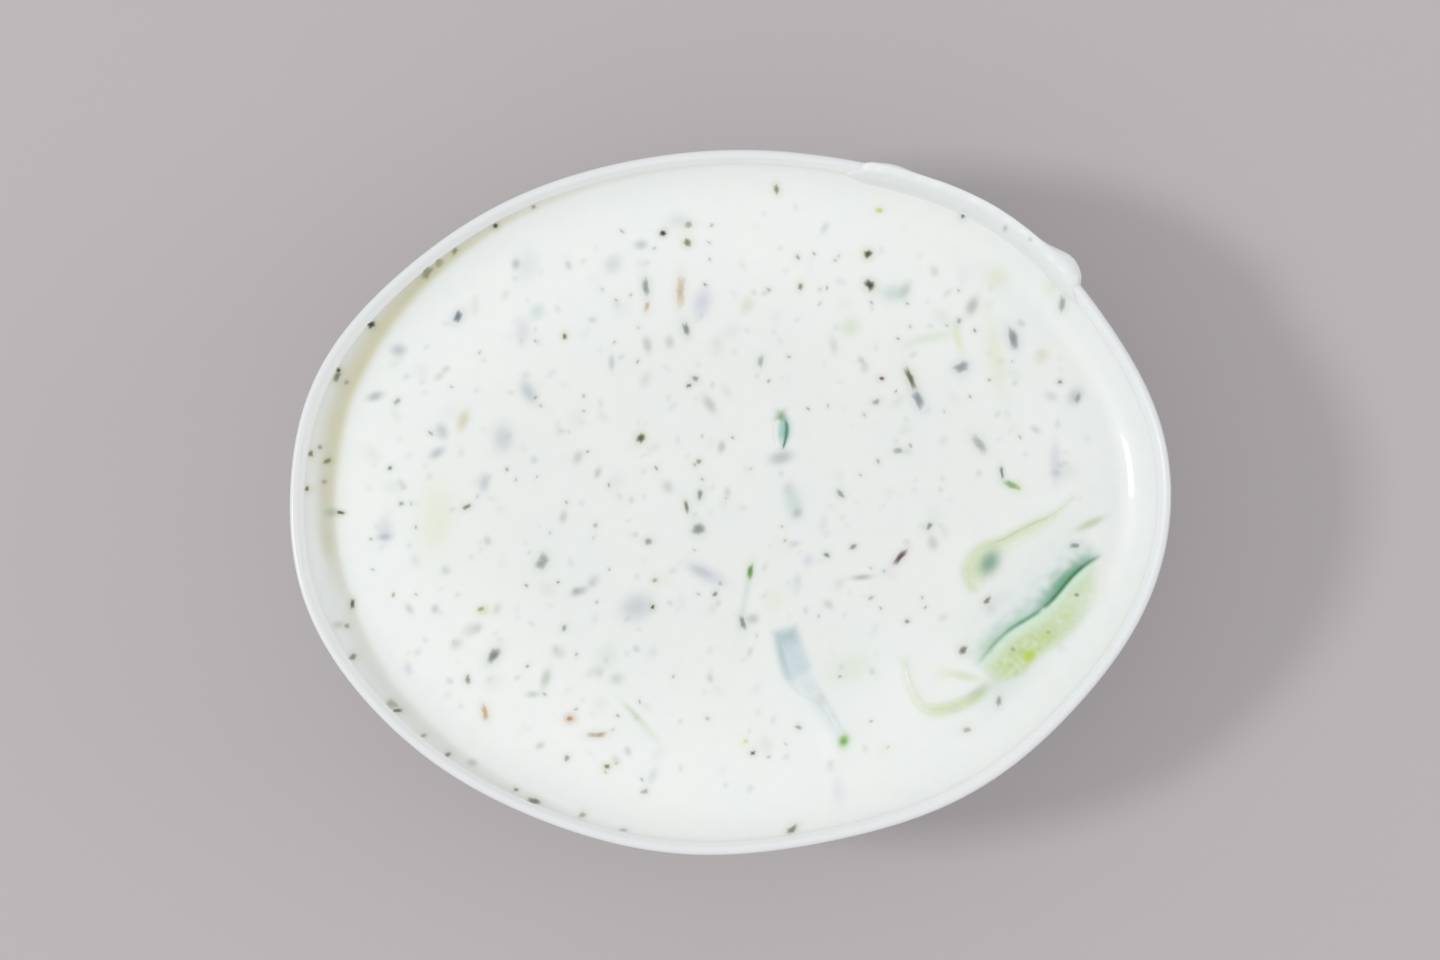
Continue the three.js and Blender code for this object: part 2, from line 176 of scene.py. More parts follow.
def from_wall(x, y):
    """How far in from the dip's edge a point lies."""
    angle = np.arctan2(y / BREADTH, x / LENGTH)
    out = sway(angle) * (CONTACT_HEIGHT / HEIGHT) ** 2 - CONTACT_INSET
    low = np.zeros_like(x, dtype=float)
    high = np.full_like(low, 0.98 * (BREADTH / 2 - CONTACT_INSET))
    for _ in range(30):
        middle = (low + high) / 2
        across = x / (LENGTH / 2 + out - middle)
        up = y / (BREADTH / 2 + out - middle)
        inside = across**2 + up**2 < 1
        low = np.where(inside, middle, low)
        high = np.where(inside, high, middle)
    return low


# ---- Meshes -----------------------------------------------------------------------------------


def make_mesh(name, points, faces, stands_for=None):
    """A smooth piece from points in millimetres, riding on the object."""
    mesh = bpy.data.meshes.new(name)
    mesh.from_pydata((np.asarray(points) * MM).tolist(), [], [list(face) for face in faces])
    mesh.validate()
    mesh.shade_smooth()
    piece = bpy.data.objects.new(name, mesh)
    bpy.context.collection.objects.link(piece)
    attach(piece, "root")
    if stands_for:
        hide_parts(stands_for)
    return piece


def loft_faces(rings, size):
    """Faces through rings of points, and to a point before the first and one after the last."""
    row = np.arange(size)
    following = (row + 1) % size
    faces = []
    for j in range(rings - 1):
        below, above = j * size, (j + 1) * size
        faces += np.stack([below + row, below + following, above + following, above + row], 1).tolist()
    first, last = rings * size, rings * size + 1
    top = (rings - 1) * size
    faces += [(first, int(b), int(a)) for a, b in zip(row, following)]
    faces += [(last, int(top + a), int(top + b)) for a, b in zip(row, following)]
    return faces


def loft(name, rings, first, last, stands_for=None):
    """A closed piece through rings of points."""
    rings = np.asarray(rings)
    points = np.concatenate([rings.reshape(-1, 3), [first, last]])
    return make_mesh(name, points, loft_faces(len(rings), rings.shape[1]), stands_for)


CREASE = 35  # faces that meet at more degrees than this are shaded apart


def crease(piece):
    """Keeps the shading of a piece's top apart from that of its hidden sides."""
    piece.data.set_sharp_from_angle(angle=math.radians(CREASE))


def paint(piece, colours):
    """Gives each point of a piece its colour."""
    layer = piece.data.color_attributes.new("tone", "FLOAT_COLOR", "POINT")
    rgba = np.ones((len(piece.data.vertices), 4), dtype=np.float32)
    rgba[:, :3] = colours
    layer.data.foreach_set("color", rgba.ravel())


# ---- Materials --------------------------------------------------------------------------------


def new_material(name, roughness, **settings):
    """A material with a named shader whose constant values are set on its own sockets."""
    material = bpy.data.materials.new(name)
    material.use_nodes = True
    shader = material.node_tree.nodes["Principled BSDF"]
    shader.inputs["Roughness"].default_value = roughness
    for socket, value in settings.items():
        shader.inputs[socket.replace("_", " ")].default_value = value
    return material, material.node_tree, shader


def add_noise(tree, scale, detail=3.0):
    """A noise that stays with the object."""
    coordinates = tree.nodes.new("ShaderNodeTexCoord")
    noise = tree.nodes.new("ShaderNodeTexNoise")
    noise.inputs["Scale"].default_value = scale
    noise.inputs["Detail"].default_value = detail
    tree.links.new(coordinates.outputs["Object"], noise.inputs["Vector"])
    return noise


def add_bump(tree, shader, height, strength, distance):
    """Makes the surface look uneven by a height."""
    bump = tree.nodes.new("ShaderNodeBump")
    bump.inputs["Strength"].default_value = strength
    bump.inputs["Distance"].default_value = distance
    tree.links.new(height, bump.inputs["Height"])
    tree.links.new(bump.outputs["Normal"], shader.inputs["Normal"])


def add_variation(tree, shader, colour, noise, amount):
    """The colour, made lighter and darker by a noise."""
    spread = tree.nodes.new("ShaderNodeMapRange")
    spread.inputs["To Min"].default_value = 1 - amount
    spread.inputs["To Max"].default_value = 1 + amount
    tree.links.new(noise.outputs["Fac"], spread.inputs["Value"])
    scaled = tree.nodes.new("ShaderNodeVectorMath")
    scaled.operation = "SCALE"
    if isinstance(colour, bpy.types.NodeSocket):
        tree.links.new(colour, scaled.inputs[0])
    else:
        scaled.inputs[0].default_value = colour
    tree.links.new(spread.outputs["Result"], scaled.inputs["Scale"])
    tree.links.new(scaled.outputs["Vector"], shader.inputs["Base Color"])


def tone_of(tree):
    """The colour painted on the points."""
    attribute = tree.nodes.new("ShaderNodeAttribute")
    attribute.attribute_name = "tone"
    return attribute.outputs["Color"]


def bowl_material():
    """Smooth white plastic that lets a little light in."""
    material, tree, shader = new_material(
        "white_bowl", 0.35, Subsurface_Weight=0.2, Subsurface_Scale=0.0003, Coat_Weight=0.15
    )
    shader.inputs["Coat Roughness"].default_value = 0.12
    shader.inputs["Subsurface Radius"].default_value = (1.0, 0.97, 0.94)
    noise = add_noise(tree, 55)
    add_variation(tree, shader, tone_of(tree), noise, 0.012)
    add_bump(tree, shader, noise.outputs["Fac"], 0.12, 0.0002)
    return material


COLOUR_A, COLOUR_B, MIXED_COLOUR = 6, 7, 2  # sockets of a node that mixes two colours


def dip_material():
    """Wet yoghurt in its painted colours, slightly cloudy."""
    material, tree, shader = new_material(
        "yoghurt", 0.42, Subsurface_Weight=0.25, Subsurface_Scale=0.0003, Coat_Weight=0.3
    )
    shader.inputs["Coat Roughness"].default_value = 0.05
    shader.inputs["Subsurface Radius"].default_value = (1.0, 0.95, 0.85)
    cloud = add_noise(tree, 75, 4.0)
    tint = tree.nodes.new("ShaderNodeMix")
    tint.data_type = "RGBA"
    tint.inputs[COLOUR_A].default_value = (1.0, 1.0, 0.985, 1)
    tint.inputs[COLOUR_B].default_value = (0.955, 0.985, 1.0, 1)
    tree.links.new(cloud.outputs["Fac"], tint.inputs["Factor"])
    tinted = tree.nodes.new("ShaderNodeVectorMath")
    tinted.operation = "MULTIPLY"
    tree.links.new(tone_of(tree), tinted.inputs[0])
    tree.links.new(tint.outputs[MIXED_COLOUR], tinted.inputs[1])
    noise = add_noise(tree, 420, 3.0)
    add_variation(tree, shader, tinted.outputs["Vector"], noise, 0.02)
    add_bump(tree, shader, noise.outputs["Fac"], 0.08, 0.00012)
    return material


FOOD_GRAIN = 1200  # the scale of the noise in cucumber and herb


def food_material(name, roughness, grain, coat, glow):
    """Wet cucumber or herb in its painted colours."""
    material, tree, shader = new_material(name, roughness, Coat_Weight=coat, Subsurface_Weight=glow)
    shader.inputs["Subsurface Scale"].default_value = 0.0003
    shader.inputs["Subsurface Radius"].default_value = (0.8, 1.0, 0.6)
    shader.inputs["Coat Roughness"].default_value = 0.12
    noise = add_noise(tree, FOOD_GRAIN)
    add_variation(tree, shader, tone_of(tree), noise, grain)
    add_bump(tree, shader, noise.outputs["Fac"], 0.25, 0.00012)
    return material


# ---- The bowl ---------------------------------------------------------------------------------

SEGMENTS = 288
SIDE_STEPS = 30
RIM_STEPS = 14
UNDER_RIM = 0.99  # how far up the side's curve its inner face goes
BOWL_WHITE = linear(230, 231, 232)
# Painted light: the inner wall is painted whiter, for light that comes through the thin wall
WALL_PAINTED_LIGHT = linear(248, 248, 247)
# A bluish painted shade on the right of the inner wall and of the dip by it, that tones down the key
# light's glow there
RIGHT_SHADE = linear(224, 230, 236)


def make_bowl():
    """The bowl from under its floor, over the rim, to the floor inside."""
    around = np.linspace(0, 2 * math.pi, SEGMENTS, endpoint=False)
    round_foot = [
        (FOOT_INNER + FOOT_SLOPE, FLOOR_UNDERSIDE),
        (FOOT_INNER + 0.3, 0.25),
        (FOOT_INNER + 0.1, 0.06),
        (FOOT_INNER - 0.2, 0),
        (FOOT_OUTER + 0.2, 0),
        (FOOT_OUTER - 0.1, 0.06),
        (FOOT_OUTER - 0.3, 0.3),
        (FOOT_OUTER - FOOT_SLOPE, FOOT_TOP),
    ]
    underside = [(inset, FLOOR_UNDERSIDE) for inset in (45, 36, 30, 27)]
    floor = side_point(0, WALL)[1]
    inside = [(inset, floor) for inset in (24, 30, 40)]
    profile = [
        *underside,
        *round_foot,
        *side_stations(0, 1, SIDE_STEPS, 0),
        *rim_stations(RIM_STEPS),
        *side_stations(UNDER_RIM, 0, SIDE_STEPS, WALL),
        *inside,
    ]
    rings = [oval(around, inset, height) for inset, height in profile]
    piece = loft("bowl_wall", rings, (0, 0, FLOOR_UNDERSIDE), (0, 0, floor), "bowl")
    rim_top = len(underside) + len(round_foot) + SIDE_STEPS + 1 + RIM_STEPS // 2
    # Painted light: the inner face is painted whiter than the rim, for light through the thin wall
    lit = blend(rim_top, rim_top + 8, np.arange(len(rings)))  # the thin wall lets light through
    tones = np.repeat(mixed(BOWL_WHITE, WALL_PAINTED_LIGHT, lit), len(around), axis=0)
    # Painted shade: the right of the inner face gets the bluish RIGHT_SHADE
    facing = np.tile(blend(math.pi / 3, 0, np.minimum(around, 2 * math.pi - around)), len(rings))
    tones = mixed(tones, RIGHT_SHADE, 0.5 * np.repeat(lit, len(around)) * facing)
    paint(piece, np.concatenate([tones, tones[:1], tones[-1:]]))
    piece.data.materials.append(bowl_material())


# ---- Cucumber and leaf ------------------------------------------------------------------------

STANDS = 0.07  # how far the middle of a strip stands out of the dip
LAPPED = 0.004  # how far its edges lie under it
SIDES_UNDER = 0.06  # how far its hidden sides stay under the dip
SINK = 0.12  # how much deeper than in the solids a piece lies
CORNERS = 56
CORNER_ANGLES = 2 * math.pi * (np.arange(CORNERS) + 0.5) / CORNERS
STRIP_RINGS = 90
SLICE_RINGS = 220
SLICE_SMOOTH = 16  # points between two corners of the slice's section
SLICE_STEPS = 40  # along its route
PIECE_REACH = 9  # how far out points are looked at for what a piece does to them

# The ends of the slice and the places on the routes were read off the photograph in pixels, and
# other programs turned them into millimetres. A route holds x, y and the height over the dip's
# level. Breadths are at even steps along it.
SLICE = {
    "from": (54.6, -11.4),
    "to": (35.9, -26),
    "flesh": [0.9, 4.1, 4.9, 5.2, 5.4, 5.6, 5.8, 5.8, 4],
    "depth": 2.6,
    "skin": 1.8,
    "proud": 0.15,
    "sway": 0.42,
    "sway_length": 14.5,
    "sway_crest": 10.5,
    "height": 0.3,
}
STRIPS = {
    "cucumber_curl": {
        "route": [
            (51.9, -2.3, 0.1),
            (48.8, -5, 0.18),
            (44.9, -6.9, 0.22),
            (41.1, -8.7, 0.2),
            (38.1, -10, 0.12),
            (36.8, -12.7, 0.04),
            (36.5, -15.5, -0.1),
        ],
        "breadths": [0.4, 1.3, 2.2, 2.2, 3.2, 4.5, 1.8],
        "thickness": 0.9,
    },
    "cucumber_hook": {
        "route": [
            (25.3, -25.2, 0.05),
            (26.1, -29.2, 0.12),
            (27.3, -31.7, 0.15),
            (29.2, -32.8, 0.16),
            (32.2, -32.5, 0.18),
            (35.2, -31.4, 0.18),
            (37.3, -30.1, 0.1),
        ],
        "breadths": [0.6, 0.9, 1.2, 1.4, 1.5, 1.3, 0.8],
        "thickness": 0.8,
    },
    "cucumber_strip": {
        "route": [
            (7.7, -20, 0),
            (8.8, -24.2, 0.05),
            (9.9, -27.4, 0.03),
            (12.9, -31, 0.06),
            (15.8, -36.4, 0.2),
        ],
        "breadths": [3, 3.8, 3.6, 1.2, 0.9],
        "thickness": 0.8,
    },
    "herb_leaf": {
        "route": [(8.7, 12.6, 0.05), (8.7, 10.9, 0.2), (8.5, 9.2, 0.14), (8.4, 7.2, 0.04)],
        "breadths": [0.5, 2.1, 2.3, 1],
        "thickness": 0.5,
    },
}


def rounded(corners, pieces):
    """A closed outline through corners, with a smooth curve between each two."""
    before, here = np.roll(corners, 1, 0), corners
    after, beyond = np.roll(corners, -1, 0), np.roll(corners, -2, 0)
    steps = [catmull(before, here, after, beyond, i / pieces) for i in range(pieces)]
    return np.stack(steps, 1).reshape(-1, corners.shape[1])


def catmull(before, here, after, beyond, share):
    """A point of the smooth curve from one place to the next, with its neighbours."""
    return 0.5 * (
        2 * here
        + (after - before) * share
        + (2 * before - 5 * here + 4 * after - beyond) * share**2
        + (3 * here - before - 3 * after + beyond) * share**3
    )


def read_along(values, share):
    """Values or points at even steps along a way, read smoothly at a share of it."""
    values = np.asarray(values, dtype=float)
    if values.ndim == 1:
        return read_along(values[:, None], share)[0]
    place = share * (len(values) - 1)
    step = min(int(place), len(values) - 2)
    here, after = values[step], values[step + 1]
    before = values[step - 1] if step > 0 else 2 * here - after
    beyond = values[step + 2] if step + 2 < len(values) else 2 * after - here
    return catmull(before, here, after, beyond, place - step)


def flat_section(breadth, thickness):
    """The oval section of a strip or leaf."""
    across = breadth / 2 * np.cos(CORNER_ANGLES)
    return np.stack([across, thickness / 2 * np.sin(CORNER_ANGLES)], 1)


def slice_sections(slices, smooth):
    """The slice's sections: skin on one side of its edge, flesh on the other."""
    sections = []
    for i in range(slices):
        share = i / (slices - 1)
        ends = max(0.04, 1 - abs(2 * share - 1) ** 3.2) ** 0.5
        flesh = read_along(SLICE["flesh"], share)
        depth = SLICE["depth"] * ends
        skin = SLICE["skin"] * ends
        proud = SLICE["proud"]
        corners = np.array(
            [
                (0, proud),
                (-0.5 * skin, -0.3 * depth),
                (-skin, -0.8 * depth),
                (-0.6 * skin, -depth),
                (0.55 * flesh, -depth),
                (0.95 * flesh, -0.5 * depth),
                (flesh, -0.6 * proud),
                (0.5 * flesh, 0.8 * proud),
            ]
        )
        sections.append(rounded(corners, smooth))
    return sections


def slice_route():
    """The slice's skin edge, which sways to both sides of a straight way."""
    start = np.array(SLICE["from"])
    run = np.array(SLICE["to"]) - start
    length = np.linalg.norm(run)
    ahead = run / length
    left = np.array([-ahead[1], ahead[0]])
    route = []
    for i in range(SLICE_STEPS + 1):
        far = length * i / SLICE_STEPS
        turn = 2 * math.pi * (far - SLICE["sway_crest"]) / SLICE["sway_length"]
        x, y = start + ahead * far + left * SLICE["sway"] * math.cos(turn)
        route.append((x, y, SLICE["height"]))
    return route


def lay_out(route, sections, stands, low, high, swell):
    """A piece that lies in the dip: its rings, how far their tops stand out of the dip, its way,
    its outline and how the dip swells by it."""
    count = len(sections)
    places = np.array([read_along(route, i / (count - 1)) for i in range(count)])
    aheads = np.zeros((count, 2))
    aheads[1:-1] = places[2:, :2] - places[:-2, :2]
    aheads[0] = places[1, :2] - places[0, :2]
    aheads[-1] = places[-1, :2] - places[-2, :2]
    aheads /= np.linalg.norm(aheads, axis=1)[:, None]
    rings = []
    for place, ahead, section in zip(places, aheads, sections):
        x = place[0] - ahead[1] * section[:, 0]
        y = place[1] + ahead[0] * section[:, 0]
        rings.append(np.stack([x, y, LEVEL + place[2] + section[:, 1]], 1))
    way = places[:, :2]
    length = np.linalg.norm(np.diff(way, axis=0), axis=1).sum()
    return {
        "rings": np.array(rings),
        "stands": np.array(stands),
        "way": way,
        "aheads": aheads,
        "low": np.array(low),
        "high": np.array(high),
        "length": length,
        "swell": np.maximum(0, places[:, 2] + swell - SINK),
    }


def lay_out_strip(shape):
    """A strip or leaf, whose top rises to its middle and runs out at its ends."""
    shares = np.linspace(0, 1, STRIP_RINGS)
    breadths = np.array([read_along(shape["breadths"], share) for share in shares])
    sections = [flat_section(breadth, shape["thickness"]) for breadth in breadths]
    swell = shape["thickness"] / 2 - STANDS
    ends = blend(0, 0.1, np.minimum(shares, 1 - shares))[:, None]
    up = np.sin(CORNER_ANGLES)
    stands = STANDS * ends * up**4 - LAPPED
    stands = np.where(up > 0, stands, np.nan)
    return lay_out(shape["route"], sections, stands, -breadths / 2, breadths / 2, swell)


def lay_out_slice():
    """The slice, whose top is highest by the skin's edge."""
    shares = np.linspace(0, 1, SLICE_RINGS)
    flesh = np.array([read_along(SLICE["flesh"], share) for share in shares])
    sections = slice_sections(SLICE_RINGS, SLICE_SMOOTH)
    left = np.array(sections)[..., 0]
    across = np.clip(left / flesh[:, None], 0, 1)
    ends = blend(0, 0.05, np.minimum(shares, 1 - shares))[:, None]
    dome = 0.1 * ends * (1 - across**2) ** 2
    stands = dome + 0.06 * ends * np.exp(-((left / 0.5) ** 2)) - LAPPED
    sides = np.arange(left.shape[1])
    stands = np.where((sides == 0) | (sides >= 6 * SLICE_SMOOTH), stands, np.nan)
    return lay_out(slice_route(), sections, stands, [0] * SLICE_RINGS, flesh, -0.02)


PIECES = {"cucumber_slice": lay_out_slice()}
PIECES.update({name: lay_out_strip(shape) for name, shape in STRIPS.items()})


def beside(piece, x, y):
    """How points lie by a piece. near is a mask of those within reach. The rest is for those: the
    share of the piece's way, the distance to the left of it, that as a share of the breadth there,
    and the distances past its ends and outside its outline."""
    way = piece["way"]
    low, high = way.min(axis=0) - PIECE_REACH, way.max(axis=0) + PIECE_REACH
    near = (x > low[0]) & (x < high[0]) & (y > low[1]) & (y < high[1])
    dx = x[near, None] - way[None, :, 0]
    dy = y[near, None] - way[None, :, 1]
    nearest = np.argmin(dx**2 + dy**2, axis=1)
    row = np.arange(len(nearest))
    dx, dy = dx[row, nearest], dy[row, nearest]
    ahead = piece["aheads"][nearest]
    left = dy * ahead[:, 0] - dx * ahead[:, 1]
    along = dx * ahead[:, 0] + dy * ahead[:, 1]
    last = len(way) - 1
    share = nearest / last
    past = np.where(nearest == 0, -along, np.where(nearest == last, along, 0))
    past = np.where(past > 0, past, -piece["length"] * np.minimum(share, 1 - share))
    edge = piece["high"][nearest]
    outside = np.maximum(np.maximum(left - edge, piece["low"][nearest] - left), past)
    return SimpleNamespace(
        near=near,
        share=share,
        left=left,
        across=left / edge,
        past=past,
        outside=outside,
        swell=piece["swell"][nearest],
    )


# ---- The dip's form ---------------------------------------------------------------------------

DIP_GRID = 288  # points each way on the dip's surface
SWELL_REACH = 2.4


def dip_height(x, y, over_pieces=False):
    """The height of the dip's surface: it climbs the wall and swells up to the pieces in it. It
    drops under them, unless it is asked for as if it lay over them."""
    wall = from_wall(x, y)
    climb = CLIMB * np.maximum(0, 1 - wall / CLIMB_WIDTH) ** 2
    height = LEVEL + climb + np.minimum(1, wall / CLIMB_WIDTH) * ripple(x, y)
    swell = np.zeros_like(height)
    for piece in PIECES.values():
        by = beside(piece, x, y)
        rise = by.swell * np.exp(-((np.maximum(by.outside, 0) / SWELL_REACH) ** 2))
        if not over_pieces:
            rise *= blend(-1.0, -0.1, by.outside)
        swell[by.near] = np.maximum(swell[by.near], rise)
    return height + swell + FILLET * np.exp(-wall / FILLET_WIDTH)


def disc_grid(count):
    """Points spread evenly over a unit disc as a square grid pressed round: angle and radius."""
    steps = np.linspace(-1, 1, count)
    across, up = np.meshgrid(steps, steps)
    wide = np.abs(across) > np.abs(up)
    radius = np.where(wide, across, up)
    safe_across = np.where(across == 0, 1, across)
    safe_up = np.where(up == 0, 1, up)
    eighth = math.pi / 4
    turn = np.where(wide, eighth * up / safe_across, 2 * eighth - eighth * across / safe_up)
    x = radius * np.cos(turn)
    y = radius * np.sin(turn)
    return np.arctan2(y, x), np.hypot(x, y)


def dip_surface():
    """The points of the dip's surface, row by row."""
    angle, radius = disc_grid(DIP_GRID)
    edge = oval(angle, CONTACT_INSET, CONTACT_HEIGHT)
    x = (edge[..., 0] * radius).ravel()
    y = (edge[..., 1] * radius).ravel()
    return np.stack([x, y, dip_height(x, y)], axis=-1)


def edge_loop(count):
    """The indices round the outside of a square grid, counterclockwise."""
    last = count - 1
    bottom = list(range(last))
    right = [i * count + last for i in range(last)]
    top = [last * count + i for i in range(last, 0, -1)]
    left = [i * count for i in range(last, 0, -1)]
    return np.array(bottom + right + top + left)


# ---- Flecks -----------------------------------------------------------------------------------

BLACK = linear(26, 34, 34)
OLIVE = linear(78, 86, 44)
GREY_GREEN = linear(104, 116, 108)
TAN = linear(176, 156, 116)
RED_BROWN = linear(88, 64, 62)
LEAF = linear(88, 148, 62)
GOLD = linear(170, 184, 64)
SLATE = linear(108, 122, 128)
KINDS = {  # the colour of each kind of fleck, and of its fringe
    "black": (BLACK, linear(206, 208, 136)),
    "olive": (OLIVE, linear(206, 208, 130)),
    "grey_green": (GREY_GREEN, linear(188, 204, 184)),
    "tan": (TAN, linear(224, 208, 170)),
    "red_brown": (RED_BROWN, linear(228, 206, 206)),
    "leaf": (LEAF, linear(196, 226, 160)),
    "gold": (GOLD, linear(226, 230, 160)),
    "slate": (SLATE, linear(184, 202, 214)),
}
# Flecks: x, y, length, breadth, heading in degrees, kind, strength. Their places and sizes were
# read off the photograph in pixels, and other programs turned them into millimetres.
LARGE_FLECKS = [
    (-5.6, 32, 4.7, 1.2, 86, "tan", 0.6),
    (-10.8, 32.8, 2.5, 1.0, 95, "grey_green", 0.7),
    (-10.8, 29.8, 1.5, 0.7, 80, "tan", 0.6),
    (23, 31.1, 1.6, 1.3, 130, "black", 0.95),
    (22.9, 35.8, 1.3, 1.1, 20, "olive", 1.0),
    (9.7, 46.3, 1.3, 0.7, 100, "olive", 0.7),
    (-7.8, 40.8, 1.0, 0.8, 40, "black", 1.0),
    (-3.9, 41.8, 1.2, 1.0, 30, "olive", 0.52),
    (-4.2, 39.1, 1.2, 1.0, 150, "olive", 0.8),
    (-39.6, 29.9, 1.9, 1.1, 58, "slate", 0.95),
    (36, 18, 2.3, 1.6, 25, "slate", 0.7),
    (43.9, 21.9, 3.0, 1.4, 105, "slate", 0.75),
    (28.3, 16.8, 3.0, 0.9, 110, "olive", 0.9),
    (29.3, 13.5, 2.9, 1.3, 110, "slate", 0.72),
    (-12.6, 10, 1.4, 1.1, 60, "olive", 1.0),
    (-4.1, 1, 1.6, 0.8, 80, "grey_green", 0.8),
    (-6.2, -0.7, 1.8, 0.6, 100, "olive", 0.75),
    (-4.6, -4.2, 1.8, 1.6, 10, "grey_green", 0.7),
    (-12.2, -5.6, 1.2, 0.9, 20, "grey_green", 0.65),
    (25.4, -9.9, 2.8, 0.8, 45, "red_brown", 0.95),
    (-28.4, -7.9, 2.4, 1.5, 60, "grey_green", 0.6),
    (2.9, -10.9, 2.1, 0.8, 80, "leaf", 0.95),
    (1.4, -18.4, 2.0, 0.8, 100, "grey_green", 0.7),
    (-36.4, -21.6, 2.7, 1.3, 55, "grey_green", 0.85),
    (-38.1, -30.1, 2.1, 0.9, 100, "tan", 0.9),
    (-21.2, -34.2, 2.7, 0.8, 5, "tan", 0.7),
    (34.1, -24.2, 1.3, 1.1, 60, "black", 0.73),
    (38.4, -18.3, 1.3, 1.0, 35, "olive", 0.15),
    (41.2, 2, 1.6, 0.5, 95, "grey_green", 0.9),
    (42.6, 0, 2.3, 0.9, -25, "leaf", 0.75),
    (53.9, -6.3, 3.4, 0.9, 22, "leaf", 0.1),
    (33.9, -28, 4.4, 0.9, -14, "leaf", 0.1),
]
# Where the dip meets the wall. The places were made in the same way, some moved in from the wall.
EDGE_FLECKS = [
    (-63.2, 4.8, 0.8, 0.5, 90, "olive", 0.85),
    (-62.4, 10.1, 0.9, 0.6, 80, "olive", 0.8),
    (-57.7, 22.4, 0.8, 0.5, 60, "black", 0.9),
    (-58.0, 21.5, 1.7, 0.7, 65, "olive", 0.75),
    (-52.4, 29.1, 1.1, 0.8, 30, "black", 1),
    (-61.2, 11.1, 0.8, 0.6, 80, "red_brown", 0.5),
    (-60.3, 9.0, 1.2, 0.7, 20, "olive", 0.7),
    (-57.5, -12.8, 1.6, 0.6, 86, "black", 0.85),
    (-39.2, 39.5, 1.2, 0.5, 45, "olive", 0.6),
    (-32.8, 43.0, 0.9, 0.6, 40, "black", 0.95),
    (-26.9, 45.5, 0.7, 0.5, 20, "red_brown", 0.5),
    (-58.8, 1.1, 1.2, 0.55, -8, "black", 0.85),
    (-59.5, -15.9, 0.9, 0.7, 0, "olive", 0.3),
    (-58.3, -16.1, 0.8, 0.7, 0, "black", 0.45),
    (-57.3, -20.8, 1.1, 0.8, 80, "black", 0.65),
    (-51.7, -28.1, 1.5, 1.1, -40, "olive", 0.45),
    (-50.9, -29.2, 1.4, 0.6, -5, "black", 0.75),
    (-47.0, -33.1, 0.7, 0.6, 0, "black", 0.45),
    (-43.4, -36.1, 0.9, 0.7, 30, "red_brown", 0.7),
    (-40.0, -37.5, 1, 0.6, -20, "black", 0.35),
    (-33.5, -41.8, 0.8, 0.5, -20, "black", 0.6),
    (-30.7, -43.6, 1.9, 0.7, -20, "black", 0.7),
    (-23.7, -46.0, 1, 0.8, 0, "olive", 0.5),
    (-17.5, -48.5, 1.2, 0.4, -5, "slate", 0.5),
    (-56.8, 20.7, 0.8, 0.7, 60, "red_brown", 0.4),
    (-60.9, 5.8, 0.8, 0.7, 30, "red_brown", 0.4),
    (-43.6, 36.5, 2.0, 1.0, 50, "olive", 0.6),
    (-41.7, 37.9, 1.3, 0.9, 40, "olive", 0.45),
]
